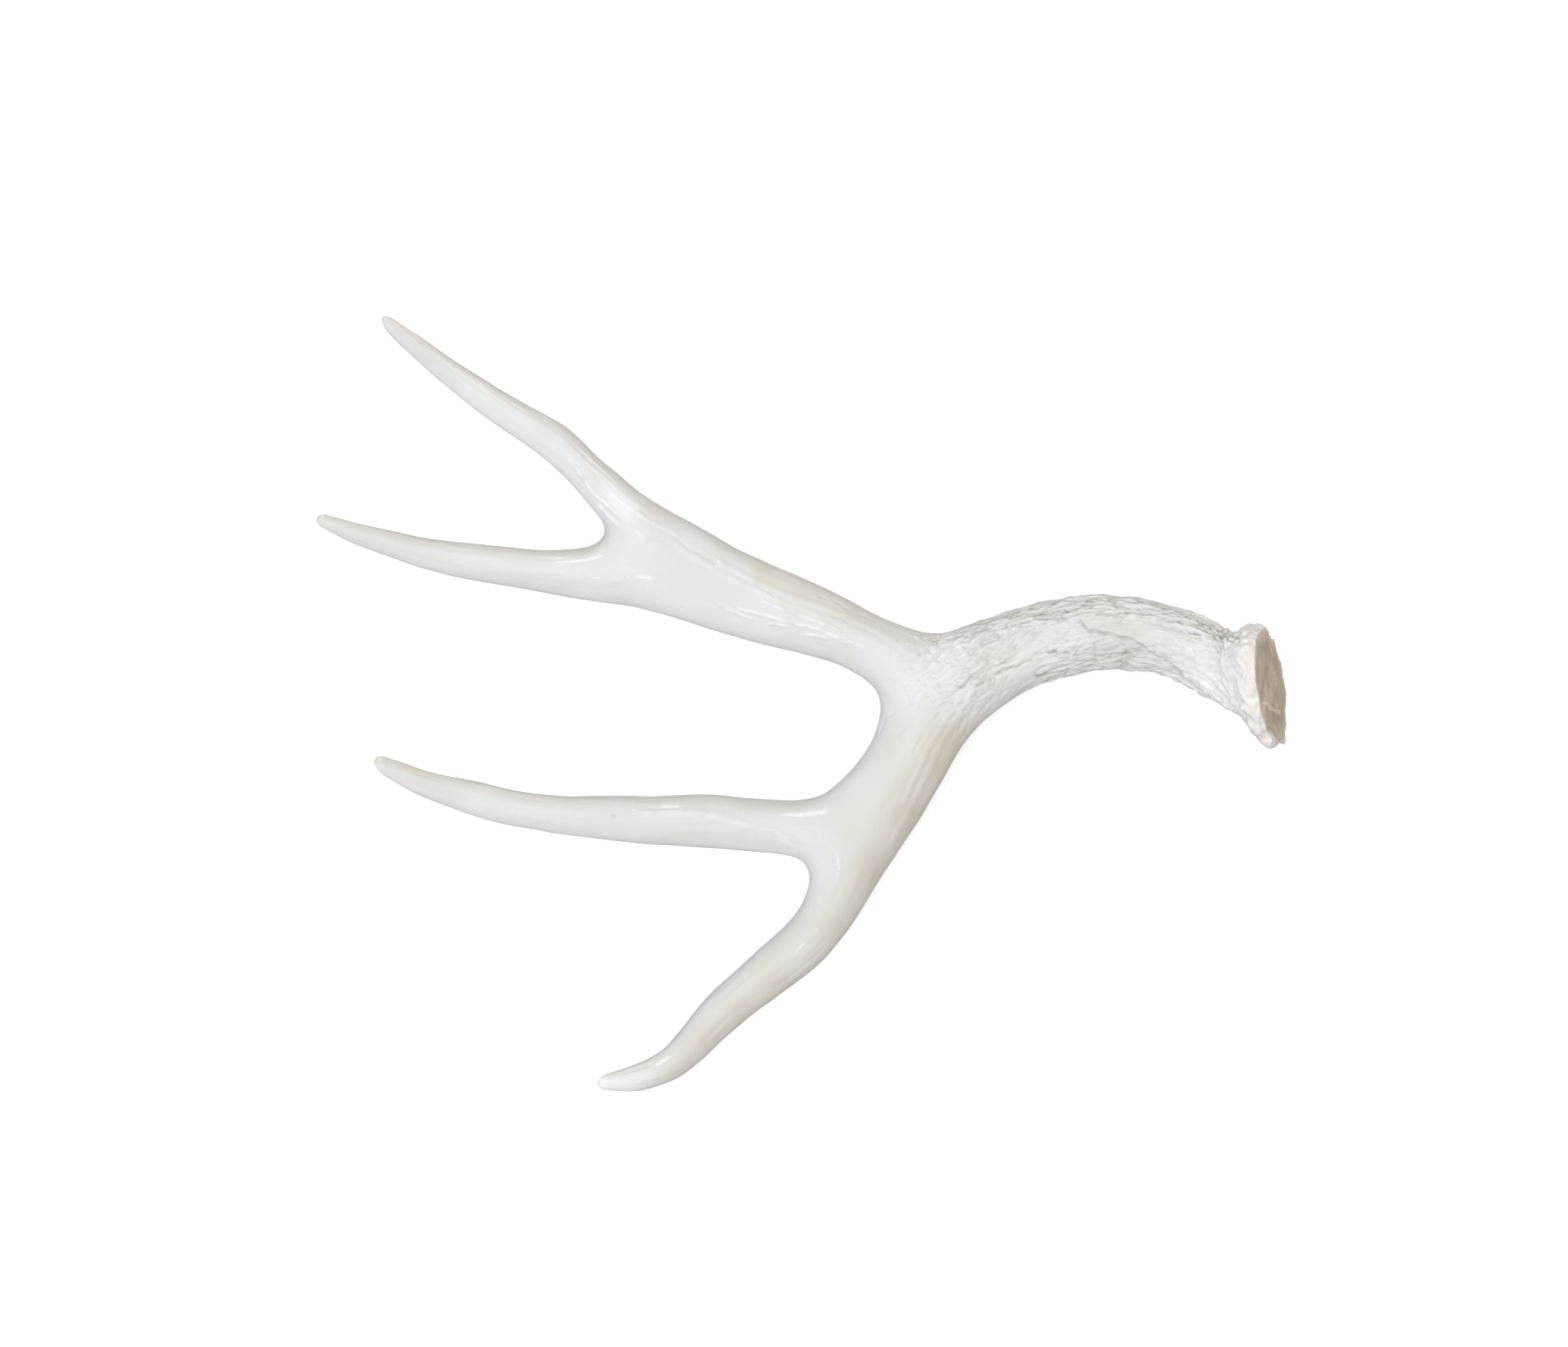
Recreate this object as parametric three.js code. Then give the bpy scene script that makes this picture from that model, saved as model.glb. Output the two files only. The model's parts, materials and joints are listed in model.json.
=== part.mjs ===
// A deer antler, bleached and lacquered white, lying with its hollow side up.
//
// A thick beam rises out of a knobbly burr and parts at the main fork into a rear branch and a
// front branch. Each branch parts once more, so the antler ends in four points and no brow tine.
// It grew as one piece of bone and is split at its three forks by saw cuts, limb from limb.
//
// Every limb is a loft. A section has a left edge, a right edge, a middle and a rise, and it is
// drawn as two half ellipses that share the middle. At a fork the middle of the section is the
// hub of the fork, so the section bends into a V, and the three limbs share the V's halves, which
// are called ribs here. The hide of the whole antler is one set of points until it is sawn.
//
// Millimetres, +Z up, and the antler rests on z = 0 on its beam, its rear fork and its front point.

import * as THREE from 'three';
import { ImprovedNoise } from 'three/addons/math/ImprovedNoise.js';

// ---- How finely the hide is drawn ----

const SIDES = 32;
const BEAM_STEP = 3.9;
const BRANCH_STEP = 6.5;
const TINE_STEP = 10;
const TIP_RINGS = 2;

// ---- The saw cuts: their width, and how many rings inward a limb's middle is safely past one ----

const SAW_CUT = 0.3;
const INWARD = 2;

// ---- The forks are eased into one another ----

const EASE_FADES = [16, 44];
const EASE_PASSES = 10;
const EASE_IN = 0.5;
const EASE_OUT = -0.52;

// ---- The bark of the beam: how far from the burr's face it grows and fades ----

const BEAM_RADIUS = 17;
const BARK_DEPTH = 2.1;
const BARK_LENGTH = 30;
const BARK_WIDTH = 9;
const BARK_TWIST = 0.006;
const BARK_GROWS = [10, 22];
const BARK_FADES = [95, 150];
const CRACK_CAP = 0.5;
const CRACK_LEVEL = 0.6;
const PEARL_DEPTH = 1.5;
const PEARL_SIZE = 7;
const PEARLS_GROW = [2, 9];
const PEARLS_FADE = [30, 62];
const NEAR_FORK = [0, 14];

// ---- The burr, a knobbly collar with one large tooth ----

const BURR_LEAN = 21;
const BURR_RADIUS = 27;
const COLLAR_FADES = [9, 13];
const KNOB_SIZE = 11;
const KNOB_DEPTH = 3;
const TOOTH_PLACE = new THREE.Vector3(211, -18, 56);
const TOOTH_FADES = [2, 7.5];
const TOOTH_DEPTH = 3.4;

// ---- The raised plate on the beam, and the grooves that the blood vessels left ----

const PLATE_RISE = 1.3;
const PLATE_EDGE_FADES = [-1.1, 1.1];
const PLATE_FADES = [165, 190];
const PLATE_EDGE = [[122, 42], [133, 36], [146, 33], [158, 25], [168, 16], [180, 8], [190, 4]];
const GROOVE_DEPTH = 1.1;
const GROOVE_FADES = [0, 3];
const GROOVES = [
  [[134, 27], [115, 27], [98, 22], [84, 10], [76, -6]],
  [[46, 28], [20, 34], [-5, 43], [-30, 55], [-52, 72], [-62, 82]],
  [[-42, 62], [-56, 72], [-68, 88]],
];

// ---- Sections along the limbs: left edge, right edge, height of the middle, depth, lean ----

function section(left, right, height, depth, lean = 0) {
  const leftEdge = new THREE.Vector3(left[0], left[1], height);
  const rightEdge = new THREE.Vector3(right[0], right[1], height);
  const across = new THREE.Vector3().subVectors(rightEdge, leftEdge).normalize();
  const angle = THREE.MathUtils.degToRad(lean);
  const rise = new THREE.Vector3(-across.y * Math.sin(angle), across.x * Math.sin(angle), Math.cos(angle));
  return {
    left: leftEdge,
    right: rightEdge,
    middle: new THREE.Vector3().addVectors(leftEdge, rightEdge).multiplyScalar(0.5),
    rise: rise.multiplyScalar(depth / 2),
  };
}

function fork(hub, depth, left, right, crotch) {
  const height = hub[2];
  return {
    hub: new THREE.Vector3(...hub),
    rise: new THREE.Vector3(0, 0, depth / 2),
    left: new THREE.Vector3(left[0], left[1], height),
    right: new THREE.Vector3(right[0], right[1], height),
    crotch: new THREE.Vector3(crotch[0], crotch[1], height),
  };
}

const FRONT_LOWER_TINE = {
  name: 'front_lower_tine',
  step: TINE_STEP,
  sections: [
    section([31, -86], [2, -83.5], 17.5, 27),
    section([24, -98], [-0.5, -90], 15.5, 25.5),
    section([13.5, -113], [-4.5, -96.5], 13, 24),
    section([-2, -126], [-17, -109], 11.3, 22.5),
    section([-17.5, -137.5], [-31, -121], 11.5, 21.5),
    section([-32.5, -149], [-46, -135], 14, 20),
    section([-45.5, -161.5], [-57.5, -149], 18, 18),
    section([-59.5, -172], [-67.5, -159.5], 23, 16),
    section([-76, -176.5], [-79, -164.5], 29, 13.5),
    section([-88.5, -175], [-89.5, -167], 34.5, 9.5),
  ],
  tip: new THREE.Vector3(-95, -172, 37),
};

const FRONT_UPPER_TINE = {
  name: 'front_upper_tine',
  step: TINE_STEP,
  sections: [
    section([-2, -68.5], [-1, -42.5], 20, 26),
    section([-11, -67], [-12.5, -42.5], 21, 24),
    section([-39.5, -64.5], [-38, -40], 24, 22.5),
    section([-56.5, -63.5], [-56, -39.5], 26.5, 22),
    section([-74, -62], [-73.5, -40.5], 29, 20.5),
    section([-91.5, -60.5], [-90.5, -40], 32, 19.5),
    section([-109, -58], [-107.5, -40], 35.5, 18),
    section([-127, -55], [-124, -38.5], 39, 17),
    section([-144.5, -51], [-140.5, -35], 43, 16),
    section([-161, -45], [-157.5, -31.5], 47.5, 14),
    section([-178, -38], [-174.5, -27.5], 52.5, 11.5),
    section([-190, -31.5], [-186.5, -23.5], 56, 9.5),
  ],
  tip: new THREE.Vector3(-195, -23, 59),
};

const REAR_LOWER_TINE = {
  name: 'rear_lower_tine',
  step: TINE_STEP,
  sections: [
    section([-93.5, 49], [-96, 75.5], 14.1, 24),
    section([-109, 51.5], [-108, 73.5], 16, 21),
    section([-127.5, 55], [-125.5, 73.5], 19.5, 18.5),
    section([-145, 58], [-142.5, 75], 23.5, 17),
    section([-162.5, 61], [-159.5, 76.5], 28, 16),
    section([-179.5, 65.5], [-176.5, 79], 33, 14),
    section([-196.5, 72], [-193.5, 82.5], 38.5, 11.5),
    section([-210, 77.5], [-207.5, 85.5], 43, 9),
    section([-219.5, 82.5], [-217, 88.5], 46, 6.5),
  ],
  tip: new THREE.Vector3(-222, 87, 47.5),
};

const REAR_UPPER_TINE = {
  name: 'rear_upper_tine',
  step: TINE_STEP,
  sections: [
    section([-92.5, 86], [-72.5, 96.5], 16, 24),
    section([-95.5, 90.5], [-82, 105.5], 18.5, 20.5),
    section([-106.5, 103], [-94.5, 116], 23.5, 18.5),
    section([-118, 114], [-107, 127.5], 29, 17.5),
    section([-131.5, 124], [-123, 137.5], 35.5, 16.5),
    section([-147.5, 134.5], [-139.5, 146.5], 43, 15),
    section([-163, 146.5], [-155.5, 156.5], 50.5, 13),
    section([-175.5, 158], [-169.5, 166], 57.5, 11),
    section([-185, 166.5], [-180, 173], 62.5, 8.5),
  ],
  tip: new THREE.Vector3(-190.5, 177, 67),
};

const FRONT_BRANCH = {
  name: 'front_branch',
  step: BRANCH_STEP,
  sections: [
    section([72.5, -19], [33.5, -10], 21, 32),
    section([57.5, -44.5], [26, -23.5], 21, 31),
    section([49.5, -57.5], [16.5, -34], 20.3, 31),
  ],
  fork: fork([20.5, -59.5, 19.5], 31, [40, -72.5], [9.5, -39.5], [2.5, -77]),
  children: [FRONT_LOWER_TINE, FRONT_UPPER_TINE],
};

const REAR_BRANCH = {
  name: 'rear_branch',
  step: BRANCH_STEP,
  sections: [
    section([31.5, 10.5], [48.5, 37], 21, 30),
    section([21, 18], [34.5, 43], 21.5, 27),
    section([5, 24], [16.5, 52.5], 21.5, 26.5),
    section([-12, 28], [-0.5, 60.5], 20.5, 26.5),
    section([-29.5, 32.5], [-17, 67.5], 19, 27),
    section([-48.5, 38], [-33.5, 75.5], 17, 27),
    section([-67.5, 44], [-50.5, 85.5], 14.55, 27),
  ],
  fork: fork([-71.5, 69.5, 13.5], 27.5, [-78, 46.5], [-59.5, 90], [-92, 82.5]),
  children: [REAR_LOWER_TINE, REAR_UPPER_TINE],
};

const MAIN_BEAM = {
  name: 'main_beam',
  step: BEAM_STEP,
  sections: [
    section([216.5, -16], [210, 37.5], 45, 51, BURR_LEAN),
    section([213.5, -18], [207, 38.5], 43.7, 56, BURR_LEAN),
    section([209, -14], [203.5, 38.5], 42, 54, BURR_LEAN),
    section([206.5, -9.5], [200.5, 36.5], 41, 45, BURR_LEAN),
    section([202, -4.5], [197.5, 35], 39.3, 37.5, 19),
    section([196, -0.5], [195, 35], 37.2, 34, 17),
    section([178, 9.5], [192, 37.5], 34, 32.5, 14),
    section([166, 16], [177.5, 44.5], 29.5, 33, 9),
    section([152, 17.5], [156, 51], 24.4, 34, 5),
    section([137, 17.5], [135, 52], 20.4, 34.5),
    section([122.5, 15], [115.5, 50], 17.85, 34),
    section([108, 10], [96, 45.5], 17.65, 34),
    section([96.5, 4], [80, 40], 18.6, 33.5),
    section([88, -2], [72, 37], 19.5, 33.5),
  ],
  fork: fork([61, 8, 20.5], 34, [81, -8.5], [62.5, 34.5], [35.5, 1]),
  children: [FRONT_BRANCH, REAR_BRANCH],
};

// ---- The whole hide, as points shared by the limbs ----

const QUARTER = SIDES / 4;
const HALF = SIDES / 2;
const hide = [];

function addPoint(place) {
  hide.push({ place, normal: new THREE.Vector3() });
  return hide.length - 1;
}

function sectionPoint(shape, side) {
  const angle = (2 * Math.PI * side) / SIDES;
  const reach = Math.cos(angle);
  const edge = reach > 0 ? shape.left : shape.right;
  const across = new THREE.Vector3().subVectors(edge, shape.middle);
  return shape.middle.clone()
    .addScaledVector(across, Math.abs(reach))
    .addScaledVector(shape.rise, Math.sin(angle));
}

function mix(one, other, share) {
  const shape = {};
  for (const key of ['left', 'right', 'middle', 'rise']) {
    shape[key] = new THREE.Vector3().lerpVectors(one[key], other[key], share);
  }
  return shape;
}

// The rails run through every section, and one section past each end gives their last direction.
function railsThrough(shapes) {
  const rails = {};
  for (const key of ['left', 'right', 'middle', 'rise']) {
    const points = shapes.map((shape) => shape[key]);
    rails[key] = new THREE.CatmullRomCurve3(points, false, 'centripetal');
  }
  return rails;
}

function shapesAlong(before, shapes, after, step) {
  const rails = railsThrough([before, ...shapes, after]);
  const last = shapes.length + 1;
  const result = [];
  for (let index = 0; index < shapes.length - 1; index += 1) {
    const gap = shapes[index].middle.distanceTo(shapes[index + 1].middle);
    const edge = Math.min(
      shapes[index].left.distanceTo(shapes[index + 1].left),
      shapes[index].right.distanceTo(shapes[index + 1].right),
    );
    const steps = Math.max(1, Math.round((gap + edge) / 2 / step));
    for (let part = 0; part < steps; part += 1) {
      const at = (index + 1 + part / steps) / last;
      const shape = {};
      for (const key of ['left', 'right', 'middle', 'rise']) {
        shape[key] = rails[key].getPoint(at);
      }
      result.push(shape);
    }
  }
  result.push(shapes[shapes.length - 1]);
  return result;
}

// A point closes in a half ellipsoid past the limb's last section.
function tipShapes(last, tip) {
  const shapes = [];
  for (let ring = 1; ring <= TIP_RINGS; ring += 1) {
    const angle = (Math.PI / 2) * (ring / (TIP_RINGS + 1));
    const middle = new THREE.Vector3().lerpVectors(last.middle, tip, Math.sin(angle));
    const shrunk = (edge) => new THREE.Vector3()
      .subVectors(edge, last.middle)
      .multiplyScalar(Math.cos(angle))
      .add(middle);
    shapes.push({
      left: shrunk(last.left),
      right: shrunk(last.right),
      middle,
      rise: last.rise.clone().multiplyScalar(Math.cos(angle)),
    });
  }
  return shapes;
}

// Lays a limb's rings, taking the ribs that a ring shares from the rings laid before it.
function layLimb(limb, start, before) {
  const shapes = [...limb.sections];
  if (start) {
    shapes.unshift(start.shape);
  }
  let after;
  if (limb.fork) {
    const { hub, rise, left, right } = limb.fork;
    shapes.push({ left, right, middle: hub, rise });
    const [leftChild, rightChild] = limb.children.map((child) => child.sections[0]);
    after = mix(leftChild, rightChild, 0.5);
    after.left = leftChild.left;
    after.right = rightChild.right;
  } else {
    const end = shapes[shapes.length - 1];
    after = tipShapes(end, limb.tip)[0];
  }
  let drawn = shapesAlong(before, shapes, after, limb.step);
  if (limb.tip) {
    drawn = [...drawn, ...tipShapes(drawn[drawn.length - 1], limb.tip)];
  }
  limb.rings = drawn.map((shape, index) => {
    const ring = [];
    for (let side = 0; side < SIDES; side += 1) {
      const shared = index === 0 && start ? start.shared(side) : undefined;
      ring.push(shared ?? addPoint(sectionPoint(shape, side)));
    }
    return ring;
  });
  if (limb.fork) {
    layChildren(limb);
  }
}

function layChildren(limb) {
  const { hub, rise, left, right, crotch } = limb.fork;
  const [leftChild, rightChild] = limb.children;
  const parentEnd = limb.rings[limb.rings.length - 1];
  const parentLast = limb.sections[limb.sections.length - 1];
  const onLeft = (side) => side <= QUARTER || side >= SIDES - QUARTER;
  const onRight = (side) => side >= QUARTER && side <= SIDES - QUARTER;
  layLimb(leftChild, {
    shape: { left, right: crotch, middle: hub, rise },
    shared: (side) => (onLeft(side) ? parentEnd[side] : undefined),
  }, { ...parentLast, right: rightChild.sections[0].left });
  const mirrored = (side) => leftChild.rings[0][(HALF - side + SIDES) % SIDES];
  layLimb(rightChild, {
    shape: { left: crotch, right, middle: hub, rise },
    shared: (side) => (onRight(side) ? parentEnd[side] : mirrored(side)),
  }, { ...parentLast, left: leftChild.sections[0].right });
}

function eachLimb(limb, visit) {
  visit(limb);
  for (const child of limb.children ?? []) {
    eachLimb(child, visit);
  }
}

function eachQuad(limb, visit) {
  for (let ring = 0; ring < limb.rings.length - 1; ring += 1) {
    for (let side = 0; side < SIDES; side += 1) {
      const next = (side + 1) % SIDES;
      const [here, there] = [limb.rings[ring], limb.rings[ring + 1]];
      visit(here[side], here[next], there[next], there[side]);
    }
  }
}

// ---- Easing: points near a hub move between their neighbours, in and out by turns ----

// One up to full, none past end, and an even slope between them.
function fade(value, [full, end]) {
  const share = THREE.MathUtils.clamp((end - value) / (end - full), 0, 1);
  return share * share * (3 - 2 * share);
}

function grow(value, limits) {
  return 1 - fade(value, limits);
}

function nearestHub(place) {
  let distance = Infinity;
  eachLimb(MAIN_BEAM, (limb) => {
    if (limb.fork) {
      distance = Math.min(distance, limb.fork.hub.distanceTo(place));
    }
  });
  return distance;
}

function neighboursOfAll() {
  const neighbours = hide.map(() => new Set());
  eachLimb(MAIN_BEAM, (limb) => eachQuad(limb, (a, b, c, d) => {
    for (const [one, other] of [[a, b], [b, c], [c, d], [d, a]]) {
      neighbours[one].add(other);
      neighbours[other].add(one);
    }
  }));
  return neighbours;
}

function easeForks() {
  const neighbours = neighboursOfAll();
  const weight = hide.map((point) => fade(nearestHub(point.place), EASE_FADES));
  for (let pass = 0; pass < EASE_PASSES * 2; pass += 1) {
    const strength = pass % 2 === 0 ? EASE_IN : EASE_OUT;
    const moves = hide.map((point, index) => {
      const middle = new THREE.Vector3();
      for (const neighbour of neighbours[index]) {
        middle.add(hide[neighbour].place);
      }
      middle.divideScalar(Math.max(1, neighbours[index].size));
      return middle.sub(point.place).multiplyScalar(strength * weight[index]);
    });
    hide.forEach((point, index) => point.place.add(moves[index]));
  }
}

// ---- Relief: how far each point of the hide stands proud of the smooth limb ----

const noise = new ImprovedNoise();

function distanceToLine(x, y, line) {
  let nearest = { distance: Infinity, side: 1 };
  for (let index = 0; index < line.length - 1; index += 1) {
    const [ax, ay] = line[index];
    const [bx, by] = line[index + 1];
    const [dx, dy] = [bx - ax, by - ay];
    const share = THREE.MathUtils.clamp(((x - ax) * dx + (y - ay) * dy) / (dx * dx + dy * dy), 0, 1);
    const distance = Math.hypot(x - ax - share * dx, y - ay - share * dy);
    if (distance < nearest.distance) {
      nearest = { distance, side: Math.sign((x - ax) * dy - (y - ay) * dx) };
    }
  }
  return nearest;
}

// A place in a field of noise for a point of a tube: along it, and round it on its section.
function tubeNoise(along, turn, radius, length, width) {
  const reach = radius / width;
  return noise.noise(along / length, reach * Math.cos(turn), reach * Math.sin(turn));
}

// Rounded ridges that run along the limb, with sharp cracks between them.
function bark(along, turn) {
  const twisted = turn + BARK_TWIST * along;
  const crack = Math.abs(tubeNoise(along, twisted, BEAM_RADIUS, BARK_LENGTH, BARK_WIDTH));
  return BARK_DEPTH * (Math.min(crack, CRACK_CAP) / CRACK_CAP - CRACK_LEVEL);
}

function pearls(place) {
  return PEARL_DEPTH * noise.noise(place.x / PEARL_SIZE, place.y / PEARL_SIZE, place.z / PEARL_SIZE);
}

function plate(place, middleHeight) {
  if (place.z < middleHeight || place.x < PLATE_EDGE[0][0] || place.x > PLATE_EDGE.at(-1)[0]) {
    return 0;
  }
  const { distance, side } = distanceToLine(place.x, place.y, PLATE_EDGE);
  return PLATE_RISE * fade(-side * distance, PLATE_EDGE_FADES) * fade(place.x, PLATE_FADES);
}

function groove(place, middleHeight) {
  if (place.z < middleHeight) {
    return 0;
  }
  let cut = 0;
  for (const line of GROOVES) {
    const { distance } = distanceToLine(place.x, place.y, line);
    cut = Math.max(cut, fade(distance, GROOVE_FADES));
  }
  return -GROOVE_DEPTH * cut;
}

function knobs(along, turn, place) {
  const lump = tubeNoise(along, turn, BURR_RADIUS, KNOB_SIZE, KNOB_SIZE);
  const tooth = fade(place.distanceTo(TOOTH_PLACE), TOOTH_FADES);
  return fade(along, COLLAR_FADES) * (KNOB_DEPTH * lump + TOOTH_DEPTH * tooth);
}

function beamRelief(fromFace, toFork, turn, place, middleHeight) {
  const barky = grow(fromFace, BARK_GROWS) * fade(fromFace, BARK_FADES);
  const pearly = grow(fromFace, PEARLS_GROW) * fade(fromFace, PEARLS_FADE);
  const ridges = barky * bark(fromFace, turn) + plate(place, middleHeight);
  return grow(toFork, NEAR_FORK) * ridges + pearly * pearls(place) + knobs(fromFace, turn, place);
}

function findNormals() {
  eachLimb(MAIN_BEAM, (limb) => {
    eachQuad(limb, (a, b, c, d) => {
      const [pa, pb, pc, pd] = [a, b, c, d].map((index) => hide[index].place);
      const one = new THREE.Vector3().subVectors(pc, pa);
      const other = new THREE.Vector3().subVectors(pd, pb);
      const normal = one.cross(other);
      for (const index of [a, b, c, d]) {
        hide[index].normal.add(normal);
      }
    });
  });
  hide.forEach((point) => point.normal.normalize());
}

function middleOf(ring) {
  const middle = new THREE.Vector3();
  for (const index of ring) {
    middle.add(hide[index].place);
  }
  return middle.divideScalar(ring.length);
}

// The burr's face stays flat: its rim moves only within its own plane.
const faceNormal = new THREE.Vector3();

function raiseRelief() {
  findNormals();
  const moves = new Map();
  eachLimb(MAIN_BEAM, (limb) => {
    const middles = limb.rings.map(middleOf);
    const travelled = [0];
    for (let ring = 1; ring < middles.length; ring += 1) {
      travelled.push(travelled[ring - 1] + middles[ring].distanceTo(middles[ring - 1]));
    }
    limb.rings.forEach((ring, ringIndex) => ring.forEach((index, side) => {
      const { place, normal } = hide[index];
      const move = normal.clone();
      let height = groove(place, middles[ringIndex].z);
      if (limb === MAIN_BEAM) {
        const fromFace = travelled[ringIndex];
        const toFork = travelled.at(-1) - fromFace;
        const turn = (2 * Math.PI * side) / SIDES;
        height += beamRelief(fromFace, toFork, turn, place, middles[ringIndex].z);
        if (ringIndex === 0) {
          move.addScaledVector(faceNormal, -move.dot(faceNormal)).normalize();
        }
      }
      moves.set(index, move.multiplyScalar(height));
    }));
  });
  for (const [index, move] of moves) {
    hide[index].place.add(move);
  }
}

// ---- Sawing the limbs apart: each cut is an upright plane through the hub and a rib ----

function cutPlane(forkShape, edge, limbMiddle) {
  const along = new THREE.Vector3().subVectors(edge, forkShape.hub).setZ(0).normalize();
  const normal = new THREE.Vector3(-along.y, along.x, 0);
  const towards = new THREE.Vector3().subVectors(limbMiddle, forkShape.hub);
  if (normal.dot(towards) < 0) {
    normal.negate();
  }
  return normal;
}

// Moves a fork ring onto its two cut planes, half a saw cut inside the limb.
function sawnRing(ring, forkShape, leftEdge, rightEdge, limbMiddle) {
  const [leftNormal, rightNormal] = [leftEdge, rightEdge].map(
    (edge) => cutPlane(forkShape, edge, limbMiddle),
  );
  const half = SAW_CUT / 2;
  const cross = leftNormal.x * rightNormal.y - leftNormal.y * rightNormal.x;
  const corner = new THREE.Vector3(
    (half * (rightNormal.y - leftNormal.y)) / cross,
    (half * (leftNormal.x - rightNormal.x)) / cross,
    0,
  ).add(forkShape.hub);
  const places = ring.map((index, side) => {
    const place = hide[index].place.clone();
    if (side === QUARTER || side === SIDES - QUARTER) {
      return place.setX(corner.x).setY(corner.y);
    }
    const normal = side < QUARTER || side > SIDES - QUARTER ? leftNormal : rightNormal;
    const off = new THREE.Vector3().subVectors(place, forkShape.hub).dot(normal);
    return place.addScaledVector(normal, half - off);
  });
  return { places, corner };
}

// The sides of the rings, each four-sided patch parted along its shorter diagonal.
function sideFaces(places, ringCount) {
  const faces = [];
  for (let ring = 0; ring < ringCount - 1; ring += 1) {
    for (let side = 0; side < SIDES; side += 1) {
      const next = (side + 1) % SIDES;
      const [a, b] = [ring * SIDES + side, ring * SIDES + next];
      const [d, c] = [a + SIDES, b + SIDES];
      if (places[a].distanceTo(places[c]) < places[b].distanceTo(places[d])) {
        faces.push(a, b, c, a, c, d);
      } else {
        faces.push(a, b, d, b, c, d);
      }
    }
  }
  return faces;
}

function limbMesh(limb, parent, material) {
  const rings = limb.rings.map((ring) => ring.map((index) => hide[index].place));
  const middles = limb.rings.map(middleOf);
  let startCentre = middles[0];
  if (parent) {
    const isLeft = parent.children[0] === limb;
    const { left, right, crotch } = parent.fork;
    const cut = sawnRing(
      limb.rings[0], parent.fork, isLeft ? left : crotch, isLeft ? crotch : right, middles[INWARD],
    );
    rings[0] = cut.places;
    startCentre = cut.corner;
  }
  let endCentre = limb.tip;
  if (limb.fork) {
    const { left, right } = limb.fork;
    const cut = sawnRing(limb.rings.at(-1), limb.fork, left, right, middles.at(-1 - INWARD));
    rings[rings.length - 1] = cut.places;
    endCentre = cut.corner;
  }
  const places = [...rings.flat(), startCentre, endCentre];
  const [startIndex, endIndex] = [places.length - 2, places.length - 1];
  const faces = sideFaces(places, rings.length);
  const lastRing = (rings.length - 1) * SIDES;
  for (let side = 0; side < SIDES; side += 1) {
    const next = (side + 1) % SIDES;
    faces.push(startIndex, next, side);
    faces.push(endIndex, lastRing + side, lastRing + next);
  }
  const geometry = new THREE.BufferGeometry();
  geometry.setAttribute('position', new THREE.Float32BufferAttribute(
    places.flatMap((place) => [place.x, place.y, place.z]), 3,
  ));
  geometry.setIndex(faces);
  geometry.computeVertexNormals();
  const mesh = new THREE.Mesh(geometry, material);
  mesh.name = limb.name;
  return mesh;
}

// ---- Build ----

const BARKY_WHITE = 0xe9e4dc;
const SMOOTH_WHITE = 0xebe9e6;

function lacqueredBone(color) {
  return new THREE.MeshStandardMaterial({ color, roughness: 0.3, metalness: 0 });
}

const burrShape = MAIN_BEAM.sections[0];
const burrBefore = mix(MAIN_BEAM.sections[1], burrShape, 2);
faceNormal.crossVectors(
  burrShape.rise,
  new THREE.Vector3().subVectors(burrShape.left, burrShape.right),
).normalize();
layLimb(MAIN_BEAM, undefined, burrBefore);
easeForks();
raiseRelief();

const antler = new THREE.Group();
const addMeshes = (limb, parent) => {
  const color = limb === MAIN_BEAM ? BARKY_WHITE : SMOOTH_WHITE;
  antler.add(limbMesh(limb, parent, lacqueredBone(color)));
  for (const child of limb.children ?? []) {
    addMeshes(child, limb);
  }
};
addMeshes(MAIN_BEAM, undefined);

// The origin is under the middle of the antler's box, on the surface it lies on.
const box = new THREE.Box3().setFromObject(antler);
antler.position.set(-(box.min.x + box.max.x) / 2, -(box.min.y + box.max.y) / 2, -box.min.z);

export default antler;
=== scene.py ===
"""A deer antler, bleached and lacquered white, lying on a pale floor with its hollow side up.

The hide of the whole antler is one smooth skin, lofted through sections in millimetres, eased at
its three forks and refined. Bark, pearls, a raised plate, creases and a knobbly burr are then
carved into it along its normals, and it is parted at the forks into the seven limbs of the frame.
"""

import json
import logging
import math
from dataclasses import dataclass
from enum import Enum, IntEnum

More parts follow.
